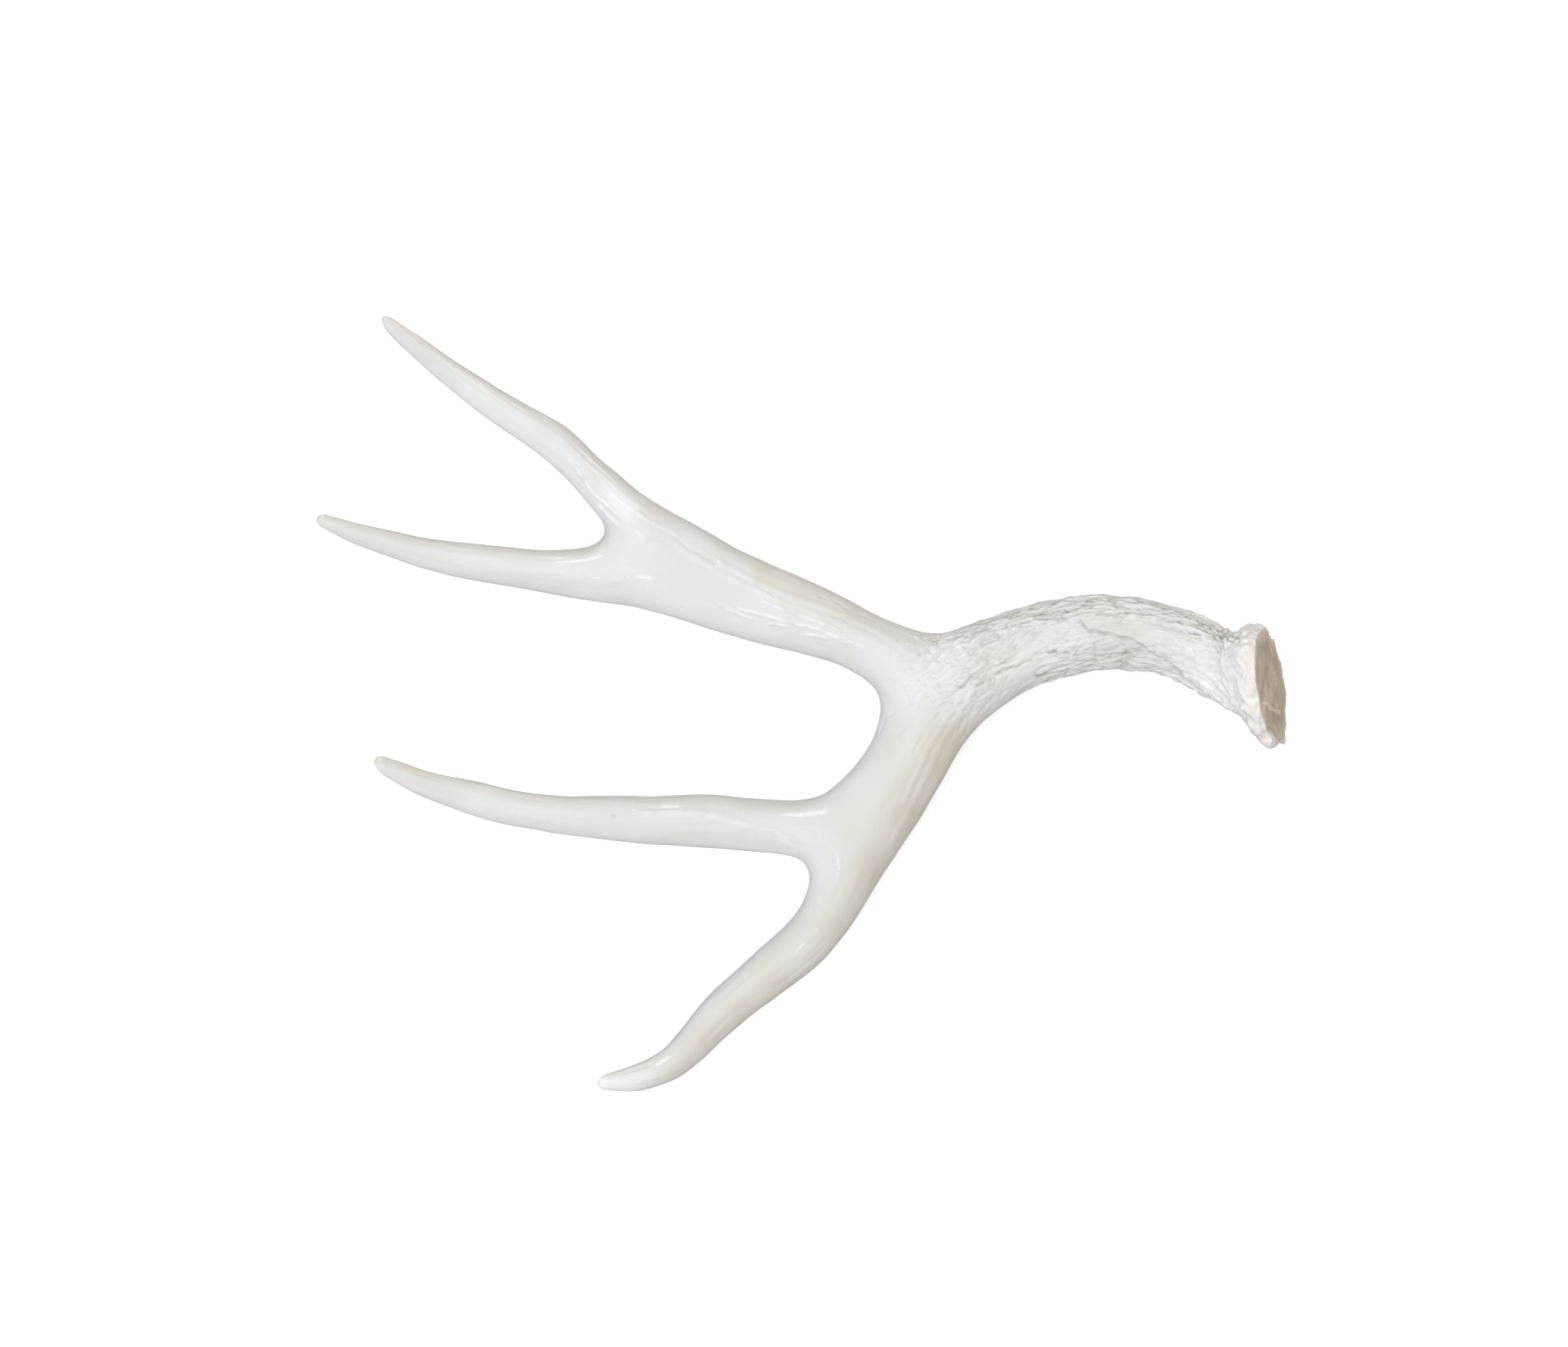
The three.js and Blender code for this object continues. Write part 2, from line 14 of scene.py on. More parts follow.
import bpy
import numpy as np
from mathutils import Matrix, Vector

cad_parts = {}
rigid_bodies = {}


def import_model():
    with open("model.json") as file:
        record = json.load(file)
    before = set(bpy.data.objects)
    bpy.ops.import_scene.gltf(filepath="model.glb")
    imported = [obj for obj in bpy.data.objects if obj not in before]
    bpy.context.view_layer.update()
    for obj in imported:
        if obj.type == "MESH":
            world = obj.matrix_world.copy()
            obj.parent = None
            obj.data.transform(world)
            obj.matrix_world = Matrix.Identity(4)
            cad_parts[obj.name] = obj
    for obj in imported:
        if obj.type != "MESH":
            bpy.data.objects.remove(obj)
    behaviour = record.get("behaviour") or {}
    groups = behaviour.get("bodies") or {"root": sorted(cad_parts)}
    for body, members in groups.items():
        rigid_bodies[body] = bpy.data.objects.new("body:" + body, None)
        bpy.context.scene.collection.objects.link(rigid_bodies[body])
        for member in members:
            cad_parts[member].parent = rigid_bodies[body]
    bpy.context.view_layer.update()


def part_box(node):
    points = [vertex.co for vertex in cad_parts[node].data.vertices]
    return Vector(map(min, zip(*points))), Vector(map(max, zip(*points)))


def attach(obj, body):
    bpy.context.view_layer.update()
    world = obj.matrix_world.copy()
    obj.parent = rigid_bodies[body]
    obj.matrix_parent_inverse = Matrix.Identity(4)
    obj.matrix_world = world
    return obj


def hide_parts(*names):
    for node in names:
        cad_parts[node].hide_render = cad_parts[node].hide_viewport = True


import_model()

log = logging.getLogger("antler")

Point2 = tuple[float, float]
Point3 = tuple[float, float, float]
Line = tuple[Point2, ...]

SIDES = 32
QUARTER = SIDES // 4
HALF = SIDES // 2
MM = 0.001
TINY = 1e-9
TINY_GAP = 1e-4


class Row(IntEnum):
    """The rows of a section's shape."""

    LEFT = 0
    RIGHT = 1
    MIDDLE = 2
    RISE = 3


class Slot(Enum):
    """The material slots of the part."""

    LACQUERED_BONE = "lacquered_bone"
    BURR_BONE = "burr_bone"


# ---- Small helpers ----


def ease_between(value: np.ndarray, low: float, high: float) -> np.ndarray:
    """Gives 0 below low, 1 above high and the cubic 3s^2 - 2s^3 of the share s between them.

    Args:
        value: The numbers to grade.
        low: Where the rise starts.
        high: Where the rise ends.

    Returns:
        The grade of each number.
    """
    share = np.clip((value - low) / (high - low), 0.0, 1.0)
    return share * share * (3.0 - 2.0 * share)


def fade_between(value: np.ndarray, low: float, high: float) -> np.ndarray:
    """Gives 1 below low and 0 above high: what ease_between leaves of 1."""
    return 1.0 - ease_between(value, low, high)


def at_least(least: float, grade: np.ndarray) -> np.ndarray:
    """Gives least + (1 - least) grade, which runs from the least share to 1."""
    return least + (1.0 - least) * grade


def lengths(vectors: np.ndarray) -> np.ndarray:
    """Gives the length of each vector, along the last axis."""
    return np.sqrt((vectors * vectors).sum(axis=-1))


def unit(vectors: np.ndarray) -> np.ndarray:
    """Gives the vectors scaled to length one, along the last axis."""
    return vectors / np.maximum(lengths(vectors), TINY)[..., None]


def distance_to_line(places: np.ndarray, line: Line) -> np.ndarray:
    """Gives how far each place is from an open line of points, seen from above.

    The foot on each stretch a-b is a + s(b - a), with s the clamped projection on b - a.

    Args:
        places: Points, of which x and y are used.
        line: The corners of the line.

    Returns:
        The distance of each point.
    """
    corners = np.array(line)
    nearest = np.full(len(places), np.inf)
    for start, end in zip(corners[:-1], corners[1:]):
        stretch = end - start
        share = np.clip((places[:, :2] - start) @ stretch / (stretch @ stretch), 0.0, 1.0)
        foot = start + share[:, None] * stretch
        nearest = np.minimum(nearest, lengths(places[:, :2] - foot))
    return nearest


class GrainField:
    """Seeded gradient noise: smooth random values, mostly between -0.6 and 0.6, over space."""

    CORNERS = 256
    GAIN = 1.4

    def __init__(self, seed: int) -> None:
        """Draws the directions of the lattice corners.

        Args:
            seed: The seed of the random numbers.
        """
        draw = np.random.default_rng(int(seed))
        self.order = draw.permutation(self.CORNERS)
        self.directions = unit(draw.normal(size=(self.CORNERS, 3)))

    def at(self, x: np.ndarray, y: np.ndarray, z: np.ndarray) -> np.ndarray:
        """Blends the slopes of the eight corners round each point.

        A corner with direction g adds w g.(p - c), and its weight w is the product over the axes
        of t^3 (6t^2 - 15t + 10), with t the share of the way to that corner.

        Args:
            x: First coordinate of the points, in lattice cells.
            y: Second coordinate.
            z: Third coordinate.

        Returns:
            The value at each point.
        """
        points = np.stack(np.broadcast_arrays(x, y, z), axis=-1)
        cell = np.floor(points).astype(int)
        part = points - cell
        blend = part**3 * (part * (6.0 * part - 15.0) + 10.0)
        total = np.zeros(points.shape[:-1])
        for offset in np.ndindex(2, 2, 2):
            corner = np.array(offset)
            key = np.zeros(points.shape[:-1], int)
            for axis in range(3):
                key = self.order[(key + cell[..., axis] + corner[axis]) % self.CORNERS]
            weight = np.where(corner == 1, blend, 1.0 - blend).prod(axis=-1)
            total += weight * (self.directions[key] * (part - corner)).sum(axis=-1)
        return self.GAIN * total


# ---- The form: sections, forks and limbs ----


@dataclass(frozen=True)
class Section:
    """A cross-section of a limb, in millimetres.

    Its edges are seen from above, looking along the limb away from the burr. The lean tips its
    upward half-axis about the limb, in degrees.
    """

    left: Point2
    right: Point2
    height: float
    depth: float
    lean: float = 0.0

    def shape(self) -> np.ndarray:
        """Gives rows for the left edge, right edge, middle and rise.

        With a the unit vector from left to right and t the lean, the rise is half the depth times
        (-a.y sin t, a.x sin t, cos t).

        Returns:
            The rows, one point or half-axis each.
        """
        left = np.array([*self.left, self.height])
        right = np.array([*self.right, self.height])
        across = unit(right - left)
        tilt = math.radians(self.lean)
        rise = np.array([-across[1] * math.sin(tilt), across[0] * math.sin(tilt), math.cos(tilt)])
        return np.stack([left, right, (left + right) / 2.0, rise * self.depth / 2.0])


@dataclass(frozen=True)
class Fork:
    """Where a limb parts in two: the hub, the depth there, and the two sides and the crotch."""

    hub: Point3
    depth: float
    left: Point2
    right: Point2
    crotch: Point2

    def shape(self, left: Point2 | None = None, right: Point2 | None = None) -> np.ndarray:
        """Gives the bent section through the hub.

        Args:
            left: The left edge, or None for the fork's own.
            right: The right edge, or None for the fork's own.

        Returns:
            Rows for the left edge, right edge, middle and rise.
        """
        height = self.hub[2]
        return np.array(
            [
                [*(left or self.left), height],
                [*(right or self.right), height],
                self.hub,
                [0.0, 0.0, self.depth / 2.0],
            ]
        )


@dataclass(frozen=True)
class Limb:
    """A limb of the antler, which ends in a tip or in a fork with two children."""

    name: str
    step: float
    sections: tuple[Section, ...]
    tip: Point3 | None = None
    fork: Fork | None = None
    children: tuple["Limb", ...] = ()

    def family(self) -> list["Limb"]:
        """Lists this limb and all that grow from it."""
        return [self, *(limb for child in self.children for limb in child.family())]


BEAM_STEP = 3.9
BRANCH_STEP = 6.5
TINE_STEP = 10.0
BURR_LEAN = 21.0

FRONT_LOWER_TINE = Limb(
    "front_lower_tine",
    TINE_STEP,
    (
        Section((31, -86), (2, -83.5), 17.5, 27),
        Section((24, -98), (-0.5, -90), 15.5, 25.5),
        Section((13.5, -113), (-4.5, -96.5), 13, 24),
        Section((-2, -126), (-17, -109), 11.3, 22.5),
        Section((-17.5, -137.5), (-31, -121), 11.5, 21.5),
        Section((-32.5, -149), (-46, -135), 14, 20),
        Section((-45.5, -161.5), (-57.5, -149), 18, 18),
        Section((-59.5, -172), (-67.5, -159.5), 23, 16),
        Section((-76, -176.5), (-79, -164.5), 29, 13.5),
        Section((-88.5, -175), (-89.5, -167), 34.5, 9.5),
    ),
    tip=(-95, -172, 37),
)

FRONT_UPPER_TINE = Limb(
    "front_upper_tine",
    TINE_STEP,
    (
        Section((-2, -68.5), (-1, -42.5), 20, 26),
        Section((-11, -67), (-12.5, -42.5), 21, 24),
        Section((-39.5, -64.5), (-38, -40), 24, 22.5),
        Section((-56.5, -63.5), (-56, -39.5), 26.5, 22),
        Section((-74, -62), (-73.5, -40.5), 29, 20.5),
        Section((-91.5, -60.5), (-90.5, -40), 32, 19.5),
        Section((-109, -58), (-107.5, -40), 35.5, 18),
        Section((-127, -55), (-124, -38.5), 39, 17),
        Section((-144.5, -51), (-140.5, -35), 43, 16),
        Section((-161, -45), (-157.5, -31.5), 47.5, 14),
        Section((-178, -38), (-174.5, -27.5), 52.5, 11.5),
        Section((-190, -31.5), (-186.5, -23.5), 56, 9.5),
    ),
    tip=(-195, -23, 59),
)

REAR_LOWER_TINE = Limb(
    "rear_lower_tine",
    TINE_STEP,
    (
        Section((-93.5, 49), (-96, 75.5), 14.1, 24),
        Section((-109, 51.5), (-108, 73.5), 16, 21),
        Section((-127.5, 55), (-125.5, 73.5), 19.5, 18.5),
        Section((-145, 58), (-142.5, 75), 23.5, 17),
        Section((-162.5, 61), (-159.5, 76.5), 28, 16),
        Section((-179.5, 65.5), (-176.5, 79), 33, 14),
        Section((-196.5, 72), (-193.5, 82.5), 38.5, 11.5),
        Section((-210, 77.5), (-207.5, 85.5), 43, 9),
        Section((-219.5, 82.5), (-217, 88.5), 46, 6.5),
    ),
    tip=(-222, 87, 47.5),
)

REAR_UPPER_TINE = Limb(
    "rear_upper_tine",
    TINE_STEP,
    (
        Section((-92.5, 86), (-72.5, 96.5), 16, 24),
        Section((-95.5, 90.5), (-82, 105.5), 18.5, 20.5),
        Section((-106.5, 103), (-94.5, 116), 23.5, 18.5),
        Section((-118, 114), (-107, 127.5), 29, 17.5),
        Section((-131.5, 124), (-123, 137.5), 35.5, 16.5),
        Section((-147.5, 134.5), (-139.5, 146.5), 43, 15),
        Section((-163, 146.5), (-155.5, 156.5), 50.5, 13),
        Section((-175.5, 158), (-169.5, 166), 57.5, 11),
        Section((-185, 166.5), (-180, 173), 62.5, 8.5),
    ),
    tip=(-190.5, 177, 67),
)

FRONT_BRANCH = Limb(
    "front_branch",
    BRANCH_STEP,
    (
        Section((72.5, -19), (33.5, -10), 21, 32),
        Section((57.5, -44.5), (26, -23.5), 21, 31),
        Section((49.5, -57.5), (16.5, -34), 20.3, 31),
    ),
    fork=Fork((20.5, -59.5, 19.5), 31, (40, -72.5), (9.5, -39.5), (2.5, -77)),
    children=(FRONT_LOWER_TINE, FRONT_UPPER_TINE),
)

REAR_BRANCH = Limb(
    "rear_branch",
    BRANCH_STEP,
    (
        Section((31.5, 10.5), (48.5, 37), 21, 30),
        Section((21, 18), (34.5, 43), 21.5, 27),
        Section((5, 24), (16.5, 52.5), 21.5, 26.5),
        Section((-12, 28), (-0.5, 60.5), 20.5, 26.5),
        Section((-29.5, 32.5), (-17, 67.5), 19, 27),
        Section((-48.5, 38), (-33.5, 75.5), 17, 27),
        Section((-67.5, 44), (-50.5, 85.5), 14.55, 27),
    ),
    fork=Fork((-71.5, 69.5, 13.5), 27.5, (-78, 46.5), (-59.5, 90), (-92, 82.5)),
    children=(REAR_LOWER_TINE, REAR_UPPER_TINE),
)

MAIN_BEAM = Limb(
    "main_beam",
    BEAM_STEP,
    (
        Section((216.5, -16), (210, 37.5), 45, 51, BURR_LEAN),
        Section((213.5, -18), (207, 38.5), 43.7, 56, BURR_LEAN),
        Section((209, -14), (203.5, 38.5), 42, 54, BURR_LEAN),
        Section((206.5, -9.5), (200.5, 36.5), 41, 45, BURR_LEAN),
        Section((202, -4.5), (197.5, 35), 39.3, 37.5, 19),
        Section((196, -0.5), (195, 35), 37.2, 34, 17),
        Section((178, 9.5), (192, 37.5), 34, 32.5, 14),
        Section((166, 16), (177.5, 44.5), 29.5, 33, 9),
        Section((152, 17.5), (156, 51), 24.4, 34, 5),
        Section((137, 17.5), (135, 52), 20.4, 34.5),
        Section((122.5, 15), (115.5, 50), 17.85, 34),
        Section((108, 10), (96, 45.5), 17.65, 34),
        Section((96.5, 4), (80, 40), 18.6, 33.5),
        Section((88, -2), (72, 37), 19.5, 33.5),
    ),
    fork=Fork((61, 8, 20.5), 34, (81, -8.5), (62.5, 34.5), (35.5, 1)),
    children=(FRONT_BRANCH, REAR_BRANCH),
)


# ---- Lofting the cage ----


def between(shapes: np.ndarray, steps: int) -> np.ndarray:
    """Runs centripetal Catmull-Rom rails from the second of four shapes to the third.

    Each row has its own knots: a gap is the square root of the distance between two shapes, and
    one too small to divide by is taken to be 1, or at the ends the same as the middle one. The
    slope at a shape is the usual mean of its two gaps' slopes, and the cubic between two shapes is
    p + s m + (3q - 3p - 2m - n) s^2 + (2p - 2q + m + n) s^3 with slopes m and n.

    Args:
        shapes: Four shapes, one after another.
        steps: How many shapes to give, the first being the second of the four.

    Returns:
        The shapes, evenly spread, without the one at the end.
    """
    gaps = np.sqrt(lengths(np.diff(shapes, axis=0)))
    gaps[1] = np.where(gaps[1] < TINY_GAP, 1.0, gaps[1])
    for outer in (0, 2):
        gaps[outer] = np.where(gaps[outer] < TINY_GAP, gaps[1], gaps[outer])
    before, here, after = gaps[..., None]
    first, start, end, last = shapes
    leave = (start - first) / before - (end - first) / (before + here) + (end - start) / here
    arrive = (end - start) / here - (last - start) / (here + after) + (last - end) / after
    leave, arrive = leave * here, arrive * here
    share = (np.arange(steps) / steps)[:, None, None]
    return (
        start
        + share * leave
        + share**2 * (3 * end - 3 * start - 2 * leave - arrive)
        + share**3 * (2 * start - 2 * end + leave + arrive)
    )


def shapes_along(shapes: np.ndarray, step: float) -> np.ndarray:
    """Fills in shapes between the given ones, about a step apart.

    The gap between two shapes is the mean of their middles' gap and their closer edges' gap.

    Args:
        shapes: The shapes, with one more before and one more after that only steer.
        step: The wanted distance, in millimetres.

    Returns:
        All shapes, from the second given one to the last but one.
    """
    parts = []
    for index in range(1, len(shapes) - 2):
        moved = lengths(shapes[index + 1] - shapes[index])
        gap = (moved[Row.MIDDLE] + min(moved[Row.LEFT], moved[Row.RIGHT])) / 2.0
        steps = max(1, math.floor(gap / step + 0.5))
        parts.append(between(shapes[index - 1 : index + 3], steps))
    return np.concatenate([*parts, shapes[-2:-1]])


def tip_shapes(last: np.ndarray, tip: Point3, rings: int = 2) -> np.ndarray:
    """Closes in on a tip as a half ellipsoid does: cos(a) times the width at sin(a) of the way.

    Args:
        last: The limb's last shape.
        tip: Where the limb ends.
        rings: How many shapes to give.

    Returns:
        The shapes between the last one and the tip.
    """
    angle = (np.pi / 2.0 * np.arange(1, rings + 1) / (rings + 1))[:, None]
    middle = last[Row.MIDDLE] + np.sin(angle) * (np.array(tip) - last[Row.MIDDLE])
    shapes = np.empty((rings, 4, 3))
    for row in (Row.LEFT, Row.RIGHT):
        shapes[:, row] = middle + np.cos(angle) * (last[row] - last[Row.MIDDLE])
    shapes[:, Row.MIDDLE] = middle
    shapes[:, Row.RISE] = np.cos(angle) * last[Row.RISE]
    return shapes


def ring_points(shapes: np.ndarray) -> np.ndarray:
    """Draws each shape as two half ellipses that share the middle.

    At angle a the point is middle + |cos a| (edge - middle) + sin a rise, and the edge is the left
    one while cos a is above zero.

    Args:
        shapes: Shapes, one per ring.

    Returns:
        Points by ring and side.
    """
    angle = 2.0 * np.pi * np.arange(SIDES) / SIDES
    reach, lift = np.cos(angle)[:, None], np.sin(angle)[:, None]
    left, right, middle, rise = (shapes[:, row, None, :] for row in Row)
    edge = np.where(reach > 0.0, left, right)
    return middle + np.abs(reach) * (edge - middle) + lift * rise


@dataclass
class Skin:
    """The refined hide of the whole antler, with what the carving needs to know of each point.

    Along and around are a point's place on its limb, to_rib its distance along the limb from the
    nearest fork, and share is 1 on the sides and falls to 0 at the centre of the seal face.
    """

    places: np.ndarray
    quads: np.ndarray
    limb_of_quad: np.ndarray
    along: np.ndarray
    around: np.ndarray
    to_rib: np.ndarray
    share: np.ndarray
    upward_grows: Point2 = (0.0, 0.35)

    def __post_init__(self) -> None:
        """Finds the normals and the limbs' points, and starts with nothing carved."""
        self.normals = self.find_normals()
        self.on_beam = np.zeros(len(self.places), bool)
        self.on_beam[self.quads[np.isin(self.limb_of_quad, (0, self.limb_of_quad.max()))]] = True
        self.upward = ease_between(self.normals[:, 2], *self.upward_grows)
        # Colour marks: painted shade in creases and hollows, stains with painted warm shade, and pale
        # bone with painted highlights.
        for name in ("height", "crease_shade", "stain_and_shade", "bleach", "bare"):
            setattr(self, name, np.zeros(len(self.places)))
        self.shove = np.zeros_like(self.places)
        self.on_tooth = np.zeros(len(self.places), bool)

    def find_normals(self) -> np.ndarray:
        """Sums at each point the crossed diagonals of its patches, scaled to length one.

        Returns:
            The normal of each point.
        """
        corners = self.places[self.quads]
        crossed = np.cross(corners[:, 2] - corners[:, 0], corners[:, 3] - corners[:, 1])
        total = np.zeros_like(self.places)
        for corner in range(4):
            for axis in range(3):
                total[:, axis] += np.bincount(
                    self.quads[:, corner], crossed[:, axis], len(self.places)
                )
        return unit(total)

    def tube_noise(self, seed: int, size: Point2, radius: float) -> np.ndarray:
        """Reads noise at (along / long, cos and sin of around times radius / wide).

        Args:
            seed: The seed of the noise.
            size: The size of its grains along the limb and round it, in millimetres.
            radius: The radius of the limb.

        Returns:
            The value at each point.
        """
        long, wide = size
        turned = radius / wide * np.stack([np.cos(self.around), np.sin(self.around)])
        return GrainField(seed).at(self.along / long, *turned)

    def space_noise(self, seed: int, size: float) -> np.ndarray:
        """Reads noise at each place over the size of its grains, in millimetres."""
        return GrainField(seed).at(*(self.places.T / size))

    def drawn_noise(self, seed: int, size: Point2, way: Point3) -> np.ndarray:
        """Reads noise at p / wide + (p.w) (1 / long - 1 / wide) w, which draws it out along w.

        Args:
            seed: The seed of the noise.
            size: The length and the width of its grains, in millimetres.
            way: The direction w.

        Returns:
            The value at each point.
        """
        long, wide = size
        way = unit(np.array(way))
        shortened = (self.places @ way)[:, None] * (1.0 / long - 1.0 / wide) * way
        return GrainField(seed).at(*(self.places / wide + shortened).T)


class AntlerCage:
    """The coarse hide: rings of points along every limb, with the forks' ribs shared."""

    EASE_FADES = (16.0, 44.0)
    EASE_PASSES = 10
    EASE_IN = 0.5
    EASE_OUT = -0.52
    FACE_SHARES = (0.12, 0.4, 0.7, 0.95)
    RIM_CREASE = 0.55
    FAR = 500.0

    def __init__(self, trunk: Limb) -> None:
        """Lays the rings of all limbs, closes the ends and eases the forks.

        Args:
            trunk: The limb that all others grow from.
        """
        self.limbs = trunk.family()
        self.trunk = trunk
        self.blocks: list[np.ndarray] = []
        self.count = 0
        self.rings: dict[str, np.ndarray] = {}
        first, second = (section.shape() for section in trunk.sections[:2])
        self.face_normal = unit(np.cross(first[Row.RISE], first[Row.LEFT] - first[Row.RIGHT]))
        self.lay(trunk, 2.0 * first - second)
        self.face_rings = self.lay_face(trunk)
        self.ends = {limb.name: self.add(np.array([limb.tip])) for limb in self.limbs if limb.tip}
        self.places = np.concatenate(self.blocks)
        self.ease_forks()

    def add(self, points: np.ndarray) -> np.ndarray:
        """Stores points and gives their numbers.

        Args:
            points: The points, in rows of three numbers.

        Returns:
            The numbers of the points.
        """
        self.blocks.append(points.reshape(-1, 3))
        self.count += len(self.blocks[-1])
        return np.arange(self.count - len(self.blocks[-1]), self.count)

    def lay(
        self,
        limb: Limb,
        before: np.ndarray,
        start: np.ndarray | None = None,
        shared: np.ndarray | None = None,
    ) -> None:
        """Lays a limb's rings, and then those of its children.

        Args:
            limb: The limb.
            before: The shape that steers the rails ahead of the first one.
            start: The bent shape at the fork it grows from, or None for the trunk.
            shared: The points of its first ring that are laid already, and -1 for the others.
        """
        shapes = [section.shape() for section in limb.sections]
        if start is not None:
            shapes.insert(0, start)
        if limb.fork:
            shapes.append(limb.fork.shape())
            left, right = (child.sections[0].shape() for child in limb.children)
            after = (left + right) / 2.0
            after[Row.LEFT] = left[Row.LEFT]
            after[Row.RIGHT] = right[Row.RIGHT]
            drawn = shapes_along(np.stack([before, *shapes, after]), limb.step)
        else:
            after = tip_shapes(shapes[-1], limb.tip)[0]
            drawn = shapes_along(np.stack([before, *shapes, after]), limb.step)
            drawn = np.concatenate([drawn, tip_shapes(drawn[-1], limb.tip)])
        points = ring_points(drawn)
        rings = np.full(points.shape[:2], -1)
        if shared is not None:
            rings[0] = shared
        new = rings < 0
        rings[new] = self.add(points[new])
        self.rings[limb.name] = rings
        if limb.fork:
            self.lay_children(limb)

    def lay_children(self, limb: Limb) -> None:
        """Lays the two limbs of a fork, each on one half of the parent's bent last ring.

        Args:
            limb: The parent.
        """
        left_child, right_child = limb.children
        first_left, first_right = (child.sections[0].shape() for child in limb.children)
        end = self.rings[limb.name][-1]
        side = np.arange(SIDES)
        before = limb.sections[-1].shape()
        before[Row.RIGHT] = first_right[Row.LEFT]
        on_left = (side <= QUARTER) | (side >= SIDES - QUARTER)
        bent = limb.fork.shape(right=limb.fork.crotch)
        self.lay(left_child, before, bent, np.where(on_left, end, -1))
        before = limb.sections[-1].shape()
        before[Row.LEFT] = first_left[Row.RIGHT]
        on_right = (side >= QUARTER) & (side <= SIDES - QUARTER)
        mirrored = self.rings[left_child.name][0][(HALF - side) % SIDES]
        bent = limb.fork.shape(left=limb.fork.crotch)
        self.lay(right_child, before, bent, np.where(on_right, end, mirrored))

    def lay_face(self, trunk: Limb) -> np.ndarray:
        """Lays the seal face as shrunken copies of the trunk's first ring round its middle.

        Args:
            trunk: The limb that ends in the face.

        Returns:
            The rings from the middle outwards, the first of them a single point repeated.
        """
        rim = ring_points(trunk.sections[0].shape()[None])[0]
        middle = rim.mean(axis=0)
        centre = np.full(SIDES, self.add(middle)[0])
        rings = [self.add(middle + share * (rim - middle)) for share in self.FACE_SHARES]
        return np.stack([centre, *rings])

    def quads_of(self, rings: np.ndarray) -> np.ndarray:
        """Joins each ring to the next with four-sided patches that face outwards.

        Args:
            rings: The numbers of the points, ring by ring.

        Returns:
            The four corners of each patch.
        """
        turned = np.roll(rings, -1, axis=1)
        quads = np.stack([rings[:-1], turned[:-1], turned[1:], rings[1:]], axis=-1)
        return quads.reshape(-1, 4)

    def ease_forks(self) -> None:
        """Moves the points near a hub to and fro between their neighbours.

        In each pass a point moves by k w (m - p), where m is the mean of its neighbours, w fades
        from 1 to 0 with its distance to the nearest hub, and k is in turn positive and negative.
        """
        hubs = np.array([limb.fork.hub for limb in self.limbs if limb.fork])
        near = lengths(self.places[:, None] - hubs[None]).min(axis=1)
        weight = fade_between(near, *self.EASE_FADES)
        quads = np.concatenate([self.quads_of(rings) for rings in self.rings.values()])
        edges = np.concatenate([quads[:, [side, (side + 1) % 4]] for side in range(4)])
        edges = np.unique(np.sort(edges, axis=1), axis=0)
        ends = np.concatenate([edges, edges[:, ::-1]])
        valence = np.maximum(np.bincount(ends[:, 0], minlength=self.count), 1)
        for turn in range(2 * self.EASE_PASSES):
            strength = self.EASE_IN if turn % 2 == 0 else self.EASE_OUT
            mean = np.stack(
                [
                    np.bincount(ends[:, 0], self.places[ends[:, 1], axis], self.count) / valence
                    for axis in range(3)
                ],
                axis=-1,
            )
            self.places += (strength * weight)[:, None] * (mean - self.places)

    def point_facts(self) -> dict[str, np.ndarray]:
        """Gives each point's place on its limb; a fork's shared ribs count to the parent.

        Returns:
            By name: the distance along the limb, the cosine and sine of the turn round it, the
            distance along it to the nearest fork, and the share of the way out on the seal face.
        """
        names = ("along", "cosine", "sine", "to_rib", "share")
        facts = {name: np.zeros(self.count) for name in names}
        facts["share"][:] = 1.0
        angle = 2.0 * np.pi * np.arange(SIDES) / SIDES
        for limb in reversed(self.limbs):
            rings = self.rings[limb.name]
            gaps = lengths(np.diff(self.places[rings].mean(axis=1), axis=0))
            travelled = np.concatenate([[0.0], np.cumsum(gaps)])
            from_start = self.FAR if limb is self.trunk else travelled
            to_end = travelled[-1] - travelled if limb.fork else self.FAR
            clear = np.broadcast_to(np.minimum(from_start, to_end), travelled.shape)
            facts["along"][rings] = travelled[:, None]
            facts["to_rib"][rings] = clear[:, None]
            facts["cosine"][rings] = np.cos(angle)
            facts["sine"][rings] = np.sin(angle)
            if limb.tip:
                facts["along"][self.ends[limb.name]] = travelled[-1]
                facts["to_rib"][self.ends[limb.name]] = travelled[-1]
        facts["to_rib"][self.face_rings] = self.FAR
        facts["cosine"][self.face_rings[1:]] = np.cos(angle)
        facts["sine"][self.face_rings[1:]] = np.sin(angle)
        facts["share"][self.face_rings] = np.array([0.0, *self.FACE_SHARES])[:, None]
        return facts

